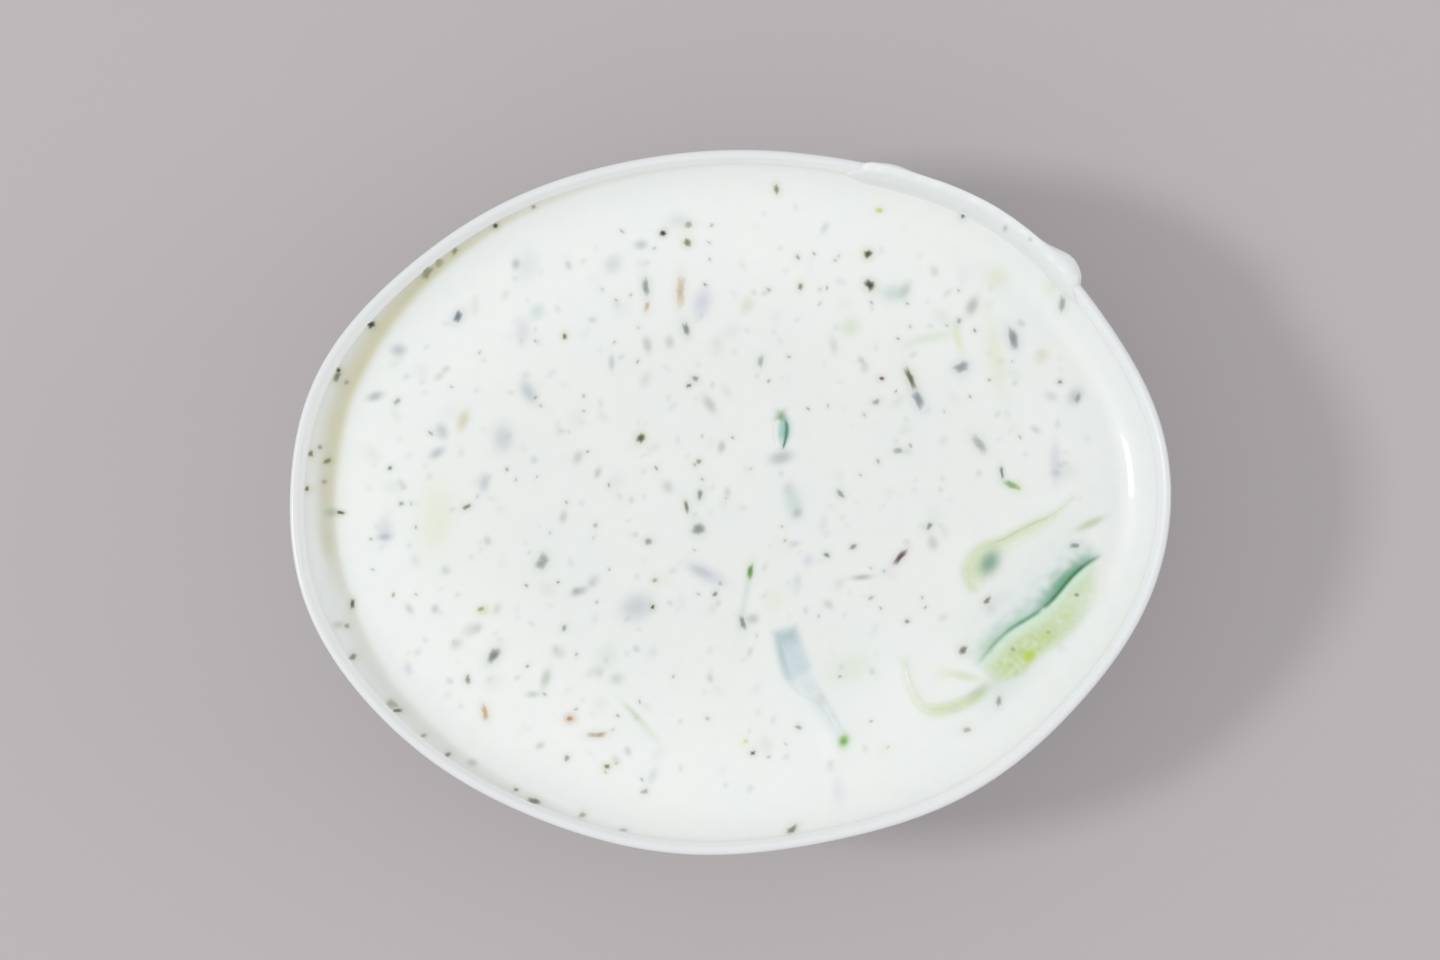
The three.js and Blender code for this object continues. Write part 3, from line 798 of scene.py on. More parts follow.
# Smaller ones that stand out: x, y, length, heading, strength. All rows but two were made by
# another program from marks put on the photograph. It moved most of them to the darkest spot
# nearby, scaled the lengths, and measured the kinds and strengths. Nearly all were then rounded.
DARK_FLECKS = {
    "grey_green": [
        (-5, 26, 2, 100, 0.8),
        (-11, 24, 1.8, 100, 0.4),
        (-4, 18.5, 1.1, 160, 0.7),
        (-2, 14.5, 2.3, 120, 0.4),
        (-49.5, 17.5, 1.2, 40, 0.6),
        (-51, 7.5, 0.7, 0, 0.8),
        (37.5, 40.5, 0.9, 60, 0.9),
        (36, 25, 0.9, 70, 0.6),
        (51.5, 26.5, 2.2, 80, 0.6),
        (50.5, 15, 0.7, 0, 0.8),
        (53, 12.5, 1.4, 60, 0.5),
        (38, 6.5, 2.8, 120, 0.5),
        (23, 13.5, 1.2, 20, 0.6),
        (17, 0, 1.4, 130, 0.7),
        (6, 20.5, 1.8, 80, 0.5),
        (26, 6, 1.5, 0, 0.5),
        (-49.5, 2, 0.8, 10, 0.6),
        (-25.5, -18, 1, 60, 0.6),
        (-2.5, -14, 0.8, 40, 0.8),
        (-26, -37.5, 1, 60, 0.6),
        (-14.5, -43, 1.1, 10, 0.5),
        (14.5, -9, 0.9, 140, 0.8),
        (18.5, -8, 1, 20, 0.8),
        (30, -5.5, 1.1, 60, 0.8),
        (26, -19.5, 0.7, 0, 0.7),
        (51.5, -9.5, 1.4, 0, 0.7),
        (9, -34.5, 0.9, 150, 0.6),
        (39, -32, 1.4, 80, 0.6),
    ],
    "black": [
        (38, -17, 1.3, 50, 0.7),
        (-5, 17.5, 0.8, 0, 0.7),
        (-39.5, 1, 1.3, 20, 0.7),
        (-40.5, -25, 1.3, 90, 0.6),
        (-12, -15.5, 0.7, 60, 0.9),
        (2, -38, 0.8, 10, 0.8),
        (7.5, -49.5, 1.8, 30, 0.7),
    ],
    "tan": [
        (-25.3, -31.6, 0.9, 0, 0.9),
    ],
    "gold": [
        (43.4, -0.4, 0.9, -25, 0.7),
        (0.9, -36.2, 0.9, 0, 0.5),
        (25, 42.3, 1.2, 0, 0.65),
    ],
    "red_brown": [
        (-0.5, 8, 1.2, 80, 0.4),
        (24, 17, 0.8, 0, 0.9),
    ],
    "olive": [
        (-4, 6, 0.9, 30, 0.6),
        (-23.5, 26, 1, 80, 0.8),
        (12.5, 31.5, 1.1, 80, 0.7),
        (-38, -14.5, 1, 20, 0.5),
        (-11.5, -11.5, 1, 20, 0.5),
        (-20, -39, 0.9, 0, 0.8),
        (12.5, -30.5, 1.1, 80, 0.5),
        (34, -36, 1.2, 10, 0.5),
    ],
}
DARK_BREADTH = 0.35
DARK_BROADENING = 0.3  # how much broader they get with their length
CRISP = 0.45  # flecks weaker than this lie under the surface
KEPT_CLEAR = [  # discs around the pieces that no small fleck enters: x, y, radius
    (45, -20, 12.5),
    (44, -8, 9.5),
    (36.5, -13, 6),
    (30.5, -29.5, 8.5),
    (8.2, -24, 5.5),
    (13, -32, 5),
    (8.3, 9.3, 4.6),
]
FLECK_COUNT = 430
FLECK_SMALLEST = 0.55
FLECK_SPREAD = 1.9  # how much longer the largest fleck is
FLECK_FALL = 70  # flecks until the extra length has fallen to about a third
FLECK_MARGIN = 9  # from the rim's outer edge
FLECK_STANDS = 0.28  # how far the broadest flecks stand out of the dip in the solids
FLECK_STRAY = 3.2  # how far a small fleck may lie off the even spread, each way
FLECK_SPACING = 0.4
SPREAD_ACROSS = 0.7548776662  # steps that spread points evenly over a square
SPREAD_UP = 0.569840291
SMALL_KINDS = [  # mostly grey-green and olive herb: each kind with the chance up to which it comes
    ("grey_green", 0.36),
    ("slate", 0.54),
    ("olive", 0.84),
    ("black", 0.94),
    ("tan", 0.985),
    ("red_brown", 1),
]


def even_place(index, first_across, first_up):
    """A place in a square from -1 to 1 each way. Places in a row fill it evenly."""
    across = 2 * ((first_across + index * SPREAD_ACROSS) % 1) - 1
    up = 2 * ((first_up + index * SPREAD_UP) % 1) - 1
    return across, up


def small_flecks(count):
    """The small flecks, largest first, spread evenly over the dip, as in the solids."""
    flecks = []
    half_length = LENGTH / 2 - FLECK_MARGIN
    half_breadth = BREADTH / 2 - FLECK_MARGIN
    i = 0
    while len(flecks) < count:
        across, up = even_place(i, 0.5, 0.5)
        x = half_length * across + FLECK_STRAY * (2 * draw(i, 3) - 1)
        y = half_breadth * up + FLECK_STRAY * (2 * draw(i, 4) - 1)
        length = FLECK_SMALLEST + FLECK_SPREAD * math.exp(-len(flecks) / FLECK_FALL)
        blocked = (
            (x / half_length) ** 2 + (y / half_breadth) ** 2 > 1
            or any(math.hypot(x - a, y - b) < radius + length / 2 for a, b, radius in KEPT_CLEAR)
            or not clear_of(LARGE_FLECKS, (x, y, length), FLECK_SPACING)
        )
        if not blocked:
            breadth = length * (0.42 + 0.35 * draw(i, 1))
            heading = 90 + 140 * (draw(i, 2) - 0.5)
            strength = (0.08 + 0.46 * draw(i, 8) ** 1.8) * min(1, 0.9 / length)
            flecks.append((x, y, length, breadth, heading, small_kind(i), strength))
        i += 1
    return flecks


def dark_flecks():
    """The smaller flecks that stand out. The longer ones are slimmer."""
    return [
        (x, y, length, DARK_BREADTH + DARK_BROADENING * length, heading, kind, strength)
        for kind, rows in DARK_FLECKS.items()
        for x, y, length, heading, strength in rows
    ]


def clear_of(others, fleck, spacing=0):
    """Whether a fleck lies clear of others, with some spacing between them."""
    x, y, length = fleck[:3]
    return all(math.hypot(x - a[0], y - a[1]) > (length + a[2]) / 2 + spacing for a in others)


def small_kind(index):
    """What kind a small fleck is."""
    chance = draw(index, 7)
    return next(kind for kind, limit in SMALL_KINDS if chance < limit)


# ---- The dip's colours ------------------------------------------------------------------------

DIP_WHITE = linear(237.5, 238, 234)
TEAL = linear(120, 170, 160)
BLUE_GREY = linear(150, 165, 175)
GREEN_GREY = linear(150, 170, 140)
SOFT_YELLOW = linear(215, 222, 160)
SOFT_GREEN = linear(190, 215, 160)
LILAC = linear(200, 199, 213)
PATCH_TEAL = linear(96, 150, 122)
FLECK_GREY = linear(150, 158, 158)
FLECK_BROWN = linear(134, 122, 116)
TAN_STAIN_AND_SHADE = linear(202, 186, 136)
BLADE_GREEN = linear(186, 200, 150)
STRIP_BLUE = linear(202, 212, 222)
ORANGE = linear(228, 168, 136)
SEED = linear(190, 212, 58)
TIP_GREEN = linear(112, 172, 44)
CURL_EDGE = linear(215, 226, 192)
# Soft marks in the dip, most where something lies under its surface and three that deepen the
# painted shade by the left wall: x, y, length, breadth, heading in degrees, colour, strength. Another
# program turned most of the places from the photograph's pixels into millimetres.
SUNKEN = [
    (53.9, -6.3, 4.4, 1.1, 22, BLADE_GREEN, 0.6),
    (33.9, -28, 4.8, 1.0, -14, SOFT_YELLOW, 0.45),
    (12.6, -31.8, 9, 2.4, -62, STRIP_BLUE, 0.3),
    (19.6, -12.6, 2.8, 0.8, 2, OLIVE, 0.42),
    (36.4, -30.4, 4.5, 1.6, 35, GREEN_GREY, 0.22),
    (40.5, -28.6, 9, 4, 40, TEAL, 0.16),
    (-25.2, -31.6, 2, 1.6, 0, ORANGE, 0.5),
    (2.1, -14.4, 1.0, 9.0, -14, TEAL, 0.18),
    (-14.0, -33.4, 7.4, 1.1, -50, SOFT_GREEN, 0.26),
    (-15.6, -31.2, 4.6, 0.7, -47, GREEN_GREY, 0.28),
    (17, -26.2, 7.0, 4.0, 20, SOFT_GREEN, 0.22),
    (8.4, 5.9, 3.4, 1.8, 10, FLECK_GREY, 0.55),
    # These three tan marks deepen the yellow-tinted painted shade in the band by the left wall
    (-61, -3.2, 5.5, 1.8, 95, TAN_STAIN_AND_SHADE, 0.25),
    (-61.2, 4.6, 5, 1.8, 86, TAN_STAIN_AND_SHADE, 0.14),
    (-54.6, 22.2, 6, 1.5, 60, TAN_STAIN_AND_SHADE, 0.12),
    (-60.2, 1.2, 1.8, 1.4, 0, GREEN_GREY, 0.5),
    (-37.6, -14.8, 2, 1.5, 20, SEED, 0.3),
    (26.4, 29.7, 3.8, 2.6, 0, TEAL, 0.3),
    (28.2, 30.1, 2.6, 1.4, 60, GREEN_GREY, 0.4),
    (-44.2, -0.4, 10.5, 5.2, 82, SOFT_YELLOW, 0.26),
    (41.2, 19.4, 12, 2.4, 97, SOFT_YELLOW, 0.3),
    (35.7, 22.4, 4, 1.2, 100, SOFT_YELLOW, 0.5),
    (31.6, 22.7, 7, 1.4, 8, SOFT_GREEN, 0.32),
    (10.0, -1.0, 4.5, 2.6, 100, TEAL, 0.3),
    (10.4, -2.5, 1.5, 1.2, 60, FLECK_GREY, 0.5),
    (-3.6, -11.0, 6, 2.4, -28, LILAC, 0.5),
    (-4.5, -10.5, 3.4, 1.3, -28, BLUE_GREY, 0.35),
    (-14.4, -15.4, 4.8, 3.8, 20, BLUE_GREY, 0.4),
    (-15.6, 36.5, 3, 2.4, 60, BLUE_GREY, 0.3),
    (-5.6, 42.5, 3, 2, 0, TEAL, 0.18),
    (-11.2, 39.2, 1.9, 1.3, 0, FLECK_GREY, 0.5),
    (-30.4, 37.4, 1.5, 1.2, 90, FLECK_GREY, 0.55),
    (-28.7, 37.0, 5, 3.4, 80, BLUE_GREY, 0.16),
    (-29.4, 17.9, 3.6, 1.8, 115, BLUE_GREY, 0.5),
    (-33.5, 11.1, 4, 3, 90, BLUE_GREY, 0.38),
    (-42.8, 12.6, 2.4, 1.6, 110, BLUE_GREY, 0.5),
    (-43.7, 9.4, 2.4, 1.4, 30, BLUE_GREY, 0.55),
    (-23.0, -12.6, 2.4, 1.2, 20, FLECK_GREY, 0.6),
    (-52.2, -2.0, 3.6, 2.4, 80, LILAC, 0.4),
    (-52.2, -2.9, 2, 1, 0, FLECK_GREY, 0.5),
    (-2.4, 29.9, 4.2, 2.6, 75, LILAC, 0.6),
    (4.4, 29.1, 2.6, 1.8, 60, TAN_STAIN_AND_SHADE, 0.3),
    (52.6, 12.8, 2.6, 2, 60, FLECK_GREY, 0.4),
    (38.1, 27.1, 2.8, 1.6, 65, FLECK_BROWN, 0.5),
    (49.2, 3.0, 6, 1.6, 88, LILAC, 0.5),
    (19.7, 25.0, 2.8, 2.4, 60, SOFT_GREEN, 0.4),
    (42.0, 31.2, 3.6, 3.2, 0, SOFT_YELLOW, 0.3),
    (50.2, 29.3, 3, 2, 60, SOFT_YELLOW, 0.3),
    (-48.9, 25.3, 2.2, 1.8, 0, BLUE_GREY, 0.55),
    (-29.8, 27.0, 4, 2.2, 88, LILAC, 0.4),
    (-27.5, 29.9, 2.4, 2, 60, TEAL, 0.25),
    (-52.8, 18.5, 2.4, 1.3, 15, FLECK_GREY, 0.6),
    (-39.5, 14.1, 3.2, 1.6, 70, TAN_STAIN_AND_SHADE, 0.55),
    (-22.3, 7.6, 2, 1.2, 70, FLECK_GREY, 0.45),
    (-36.7, 4.5, 2.6, 1.5, 80, BLUE_GREY, 0.45),
    (-16.5, 21.6, 2.2, 0.9, 88, BLUE_GREY, 0.5),
    (21.6, 18.7, 1.5, 1.2, 60, TAN_STAIN_AND_SHADE, 0.4),
    (48.0, 19.0, 2.4, 2, 40, TAN_STAIN_AND_SHADE, 0.3),
    (-28.6, -25.4, 2.8, 1.4, 70, GREEN_GREY, 0.5),
    (-30.7, -27.7, 2, 0.9, 0, GREEN_GREY, 0.45),
    (-17.9, -26.0, 2, 1.6, 0, GREEN_GREY, 0.35),
    (-49.5, -22.9, 2, 1, 100, LILAC, 0.5),
    (9.7, -7.1, 1.7, 1, 0, LILAC, 0.6),
    (11.7, -9.6, 1.8, 1.5, 60, LILAC, 0.5),
    (30.4, -8.0, 2.1, 1.4, 100, FLECK_GREY, 0.45),
    (3.0, -18.0, 1.7, 1.4, 0, FLECK_GREY, 0.5),
    (14.5, -44.1, 4, 2, 88, LILAC, 0.25),
]
PATCHES = [  # on top of the cucumber, made in the same way
    (35.8, -30.6, 3.2, 1.3, 32, GREEN_GREY, 0.3),
    (15.7, -36.8, 2.6, 2.2, 60, SOFT_GREEN, 0.5),
    (15.7, -36.8, 1.5, 1.2, 60, TIP_GREEN, 0.95),
    (37.6, -11.5, 5, 3.4, 62, CURL_EDGE, 0.5),
    (38.7, -11.4, 4.0, 2.7, 55, PATCH_TEAL, 0.78),
    (43.7, -25.6, 2.0, 1.3, 35, SEED, 0.85),
    (46.3, -23.0, 2.8, 1.1, 45, SEED, 0.4),
    (49.7, -19.8, 2.2, 0.9, 40, SEED, 0.25),
    (51.3, -16.8, 0.6, 0.5, 0, FLECK_BROWN, 0.9),
    (46.8, -22.1, 0.6, 0.5, 0, FLECK_BROWN, 0.5),
    (41.5, -24.4, 0.6, 0.6, 0, FLECK_BROWN, 0.6),
]
SMUDGES = 60
SMUDGE_COLOURS = (BLUE_GREY, GREEN_GREY, LILAC, SOFT_YELLOW)
SMUDGE_MARGIN = 6  # from the rim's outer edge


def closeness(points, mark):
    """The points near a soft mark, and how near: 1 in its middle, a third at its edge."""
    x, y, length, breadth, heading = mark[:5]
    turn = math.radians(heading)
    dx = points[:, 0] - x
    dy = points[:, 1] - y
    near = np.hypot(dx, dy) < 1.6 * max(length, breadth) + 1
    along = (dx[near] * math.cos(turn) + dy[near] * math.sin(turn)) / (length / 2)
    across = (-dx[near] * math.sin(turn) + dy[near] * math.cos(turn)) / (breadth / 2)
    return near, np.exp(-0.9 * (along**2 + across**2) ** 1.2)


def lay(colours, near, colour, weight):
    """Lays a colour over the colours of some points."""
    weight = np.clip(weight, 0, 1)[:, None]
    colours[near] = colours[near] * (1 - weight) + colour * weight


def stain(colours, points, mark):
    """Lays a soft mark over the colours of the points near it."""
    near, close = closeness(points, mark)
    lay(colours, near, mark[5], mark[6] * close)


def smudges():
    """Faint cloudy marks, spread evenly."""
    marks = []
    for i in range(SMUDGES):
        across, up = even_place(i, 0.3, 0.7)
        if across**2 + up**2 < 1:
            x = (LENGTH / 2 - SMUDGE_MARGIN) * across
            y = (BREADTH / 2 - SMUDGE_MARGIN) * up
            length = 1 + 2.4 * draw(i, 21)
            breadth = length * (0.5 + 0.4 * draw(i, 22))
            colour = SMUDGE_COLOURS[int(len(SMUDGE_COLOURS) * draw(i, 23))]
            heading = 180 * draw(i, 24)
            strength = 0.05 + 0.13 * draw(i, 25)
            marks.append((x, y, length, breadth, heading, colour, strength))
    return marks


# Painted light and shade by the wall: a brighter white, a yellow-tinted shade and a plain shade
DIP_PAINTED_LIGHT = linear(246, 246.5, 243)
TINTED_SHADE = linear(206, 194, 128)
SHADE = linear(196, 200, 194)
# The painted shade band by the wall, yellow-tinted and plain, at even steps of the turn around the
# bowl, in degrees
BAND_FROM = 105
BAND_STEP = 15
BAND_PLACE = [0.5, 0.6, 1.0, 2.6, 3.4, 3.6, 4.0, 2.3, 1.5, 0.8, 0.5]  # mm from the wall
BAND_REACH = [0.5, 0.8, 1.3, 1.4, 1.6, 1.4, 0.9, 1.3, 1.0, 0.7, 0.5]
BAND_TINTED_SHADE = [0.1, 0.35, 0.6, 0.6, 0.6, 0.42, 0.2, 0.12, 0.1, 0.05, 0]
BAND_SHADE = [0, 0.05, 0.1, 0.08, 0.1, 0.22, 0.25, 0.2, 0.2, 0.15, 0]


def paint_edge(colours, points):
    """Painted light and shade by the wall: whiter towards it, a yellow-tinted and a plain painted shade
    where the dip climbs on the left, and a bluish painted shade on the right.
    """
    angle = np.arctan2(points[:, 1] / BREADTH, points[:, 0] / LENGTH)
    turn = np.degrees(angle) % 360
    wall = from_wall(points[:, 0], points[:, 1])
    everywhere = np.full(len(points), True)
    off_right = np.minimum(turn, 360 - turn)
    right = blend(70, 20, off_right)
    # Painted light: the dip is painted whiter towards the wall, less so on the right
    lay(colours, everywhere, DIP_PAINTED_LIGHT, (0.65 - 0.4 * right) * blend(32, 8, wall))
    turns = BAND_FROM + BAND_STEP * np.arange(len(BAND_PLACE))
    place, reach, tinted_shade, shade = (
        np.interp(turn, turns, values, left=values[0], right=values[-1])
        for values in (BAND_PLACE, BAND_REACH, BAND_TINTED_SHADE, BAND_SHADE)
    )
    inside = blend(turns[0] - BAND_STEP, turns[0], turn)
    inside *= 1 - blend(turns[-1], turns[-1] + BAND_STEP, turn)
    reach = reach * np.where(wall < place, 1.35, 0.6)  # it ends more sharply on its inner side
    band = inside * np.exp(-(((wall - place) / reach) ** 2))
    # Painted shade, yellow-tinted and plain, in the band where the dip climbs on the left
    lay(colours, everywhere, TINTED_SHADE, tinted_shade * band)
    lay(colours, everywhere, SHADE, shade * band)
    # Painted bluish shade by the wall on the right
    shaded = 0.12 * blend(50, 15, off_right) * blend(4.5, 2.5, wall)
    lay(colours, everywhere, RIGHT_SHADE, shaded)


def mottle(x, y, size):
    """A smooth uneven pattern from -1 to 1, with spots about a size across."""
    u, v = 2.2 * x / size, 2.2 * y / size
    return np.sin(u + 1.4 * np.sin(0.7 * v + 1)) * np.cos(v + 1.3 * np.sin(0.8 * u - 0.5))


def cover(outside):
    """How much of a sunken piece shows: the dip laps over its edges."""
    return 1 - blend(-0.9, 1.1, outside)


CURL_PALE = linear(222, 232, 206)
CURL_LINE = linear(168, 178, 124)
HOOK_GREEN = linear(208, 222, 178)
STRIP_PALE = linear(204, 218, 222)
STRIP_DARK = linear(158, 184, 186)
STRIP_TOP = linear(174, 194, 196)
STRIP_TAIL = linear(202, 216, 219)
LEAF_MIDDLE = linear(156, 204, 192)
LEAF_GREEN = linear(104, 146, 98)
LEAF_PALE = linear(208, 220, 223)
LEAF_EDGE = linear(60, 112, 98)


def paint_curl(colours, points):
    """A pale curl with a darker line along one side. The other side fades into the dip."""
    by = beside(PIECES["cucumber_curl"], points[:, 0], points[:, 1])
    colour = mixed(CURL_PALE, CURL_EDGE, blend(0.9, -0.7, by.across))
    thin = (0.45 + 0.35 * blend(0.5, 0.8, by.share)) * blend(-0.2, 1, by.across)
    thin += 0.4 * blend(0.25, 0.05, by.share)
    lay(colours, by.near, colour, cover(by.outside) * (0.9 - thin))
    line = np.exp(-(((by.across + 0.66) / 0.2) ** 2)) * (0.5 + 0.5 * blend(0.1, 0.3, by.share))
    line *= 1 - 0.75 * blend(0.5, 0.66, by.share)
    lay(colours, by.near, CURL_LINE, 0.36 * line * (1 - blend(-0.2, 0.2, by.outside)))


def paint_hook(colours, points):
    """A pale green hook that shows more towards its end."""
    by = beside(PIECES["cucumber_hook"], points[:, 0], points[:, 1])
    strength = 0.4 + 0.5 * blend(0.3, 0.6, by.share) * (1 - 0.4 * blend(0.85, 1, by.share))
    lay(colours, by.near, HOOK_GREEN, strength * cover(by.outside))


def paint_strip(colours, points):
    """A blue-grey strip, darker along one side, whose tail fades into the dip."""
    by = beside(PIECES["cucumber_strip"], points[:, 0], points[:, 1])
    dark = blend(-0.45, -0.9, by.across) * (1 - 0.5 * blend(0.15, 0.4, by.share))
    colour = mixed(STRIP_PALE, STRIP_DARK, dark)
    colour = mixed(colour, STRIP_TOP, 0.8 * blend(0.2, 0.04, by.share))
    colour = mixed(colour, STRIP_TAIL, blend(0.45, 0.6, by.share))
    faded = blend(0.4, 0.5, by.share)
    lay(colours, by.near, colour, (0.95 - 0.58 * faded) * cover(by.outside))


def paint_leaf(colours, points):
    """A leaf with a dark tip and a dark right edge, whose left side fades into the dip."""
    by = beside(PIECES["herb_leaf"], points[:, 0], points[:, 1])
    colour = mixed(LEAF_PALE, LEAF_MIDDLE, blend(-0.9, 0.2, by.across))
    colour = mixed(colour, LEAF_GREEN, blend(0.3, 0.08, by.share))
    body = blend(-1.1, 0.1, by.across) * (1 - 0.6 * blend(0.6, 0.9, by.share))
    body = np.maximum(body, blend(0.32, 0.16, by.share))
    lay(colours, by.near, colour, 0.95 * body * cover(by.outside))
    edge = np.exp(-(((by.across - 0.72) / 0.26) ** 2)) * blend(0.12, 0.35, by.share)
    lay(colours, by.near, LEAF_EDGE, 0.9 * edge * (1 - blend(-0.4, 0.1, by.past)))


SKIN_DEEP = linear(84, 156, 110)
SKIN_LIGHT = linear(120, 180, 140)
SKIN_PALE = linear(132, 180, 174)
SKIN_DARK = linear(62, 130, 80)
SKIN_GREEN = linear(84, 150, 100)
SKIN_TIP = linear(140, 190, 130)
# How strong the skin's colours are, at even steps along the slice
SKIN_NEAR = [0.2, 0.7, 0.85, 0.65, 0.3, 0.32, 0.28, 0.38, 0.1]  # close to its edge
SKIN_FAR = [0.35, 0.5, 0.55, 0.55, 0.5, 0.4, 0.32, 0.3, 0.18]  # further out
SKIN_LINE = [0.5, 1, 1, 0.95, 0.75, 0.85, 0.62, 0.5, 0.05]  # on the edge itself
SKIN_GAP = 0.47  # where the line is thin
FLESH_FILM = linear(212, 232, 212)
FLESH_PALE = linear(210, 224, 190)
FLESH_CORE = linear(190, 208, 132)
FLESH_LIGHT = linear(224, 234, 206)
SEED_YELLOW = linear(190, 205, 90)


def paint_slice(colours, points):
    """Skin that fades into the dip on one side of its edge, flesh with a seedy core on the other."""
    x, y = points[:, 0], points[:, 1]
    by = beside(PIECES["cucumber_slice"], x, y)
    cloud = mottle(x[by.near], y[by.near], 1.3)
    spots = mottle(x[by.near], y[by.near], 0.9) + 0.6 * mottle(y[by.near], x[by.near], 1.4)
    steps = np.linspace(0, 1, len(SKIN_NEAR))
    ends = 1 - blend(-0.6, 1.2, by.past)
    skin = ends * blend(0.3, -0.1, by.left)
    away = np.minimum(0, by.left + 0.2)
    far = np.interp(by.share, steps, SKIN_FAR) * np.exp(away / 2.3) * (1 + 0.3 * cloud)
    lay(colours, by.near, SKIN_PALE, far * skin)
    close = np.interp(by.share, steps, SKIN_NEAR) * np.exp(-((away / (1.35 + 0.5 * cloud)) ** 2))
    deep = mixed(SKIN_DEEP, SKIN_LIGHT, blend(0.4, 0.55, by.share))
    deep = mixed(deep, SKIN_TIP, blend(0.75, 0.9, by.share))
    lay(colours, by.near, deep, close * skin)
    colour = mixed(FLESH_FILM, FLESH_PALE, blend(0.8, 1.9, by.left))
    core = blend(1.4, 3.0, by.left) * blend(0.32, 0.68, by.share) * (1 - blend(0.9, 1.0, by.share))
    colour = mixed(colour, FLESH_CORE, core * np.clip(0.52 + 0.25 * spots, 0, 1))
    inner = blend(0.9, 1.6, by.left) * (1 - blend(0.8, 1, by.across))
    colour = mixed(colour, FLESH_LIGHT, inner * np.clip(-0.25 * spots, 0, 1))
    spot = np.exp(-(((by.across - 0.84) / 0.13) ** 2) - ((by.share - 0.7) / 0.05) ** 2)
    colour = mixed(colour, SEED_YELLOW, 0.8 * spot)
    flesh = cover(np.maximum(by.left * (1 - 1 / np.maximum(by.across, 0.05)), by.past))
    flesh *= 1 - 0.6 * blend(0.4, 1, by.across) * blend(0.45, 0.15, by.share)
    flesh *= 1 - 0.4 * blend(0.18, 0, by.share)
    lay(colours, by.near, colour, 0.97 * flesh * blend(-0.1, 0.2, by.left))
    line = np.interp(by.share, steps, SKIN_LINE) * np.exp(-(((by.left - 0.1) / 0.3) ** 2))
    line *= 1 - 0.7 * np.exp(-(((by.share - SKIN_GAP) / 0.022) ** 2))
    colour = mixed(SKIN_DARK, SKIN_GREEN, blend(0.4, 0.55, by.share))
    lay(colours, by.near, colour, line * ends)


def dip_colours(points, marks):
    """The dip's colours: painted light and shade by the wall, and all that shows through it."""
    colours = np.tile(DIP_WHITE, (len(points), 1))
    paint_edge(colours, points)
    for mark in marks:
        stain(colours, points, mark)
    for painter in (paint_slice, paint_curl, paint_hook, paint_strip, paint_leaf):
        painter(colours, points)
    for mark in PATCHES:
        stain(colours, points, mark)
    return colours


# ---- The dip and the pieces in it -------------------------------------------------------------


def make_dip(marks, sunken_flecks):
    """The dip: its surface on a grid, and its sides and bottom within the bowl's wall."""
    points = dip_surface()
    for fleck in sunken_flecks:
        near, close = closeness(points, fleck)
        points[near, 2] += min(FLECK_STANDS, 0.3 * fleck[3]) * 0.3 * close
    count = DIP_GRID
    index = np.arange(count * count).reshape(count, count)
    quads = np.stack([index[:-1, :-1], index[:-1, 1:], index[1:, 1:], index[1:, :-1]], -1)
    loop = edge_loop(count)
    angles = np.arctan2(points[loop, 1] / BREADTH, points[loop, 0] / LENGTH)
    rings = [oval(angles, *side_point(t, WALL + 0.1)) for t in np.linspace(CONTACT, 0, 8)[1:]]
    below = np.concatenate(rings)
    size = len(loop)
    faces = quads.reshape(-1, 4).tolist()
    upper = loop
    for ring in range(len(rings)):
        lower = len(points) + ring * size + np.arange(size)
        faces += np.stack([np.roll(upper, -1), upper, lower, np.roll(lower, -1)], 1).tolist()
        upper = lower
    bottom = len(points) + len(below)
    faces += [(bottom, int(b), int(a)) for a, b in zip(upper, np.roll(upper, -1))]
    every = np.concatenate([points, below, [(0, 0, side_point(0, WALL + 0.1)[1])]])
    piece = make_mesh("dip_body", every, faces, "dip")
    ends = np.zeros(2 * len(piece.data.edges), dtype=int)
    piece.data.edges.foreach_get("vertices", ends)
    along_wall = np.isin(ends, loop).reshape(-1, 2).all(axis=1)
    piece.data.edges.foreach_set("use_edge_sharp", along_wall)
    colours = np.tile(DIP_WHITE, (len(every), 1))
    colours[: len(points)] = dip_colours(points, marks)
    paint(piece, colours)
    piece.data.materials.append(bpy.data.materials["yoghurt"])


SMEAR_SLICES = 150
SMEAR_WHITE = linear(237, 238, 237)
SMEAR_SPECKS = [
    (37.3, 39.8, 0.8, 0.6, 120, BLACK, 0.9),
    (43.6, 37.8, 0.8, 0.6, 60, OLIVE, 0.4),
    (47.2, 35.8, 0.6, 0.5, 0, OLIVE, 0.3),
]


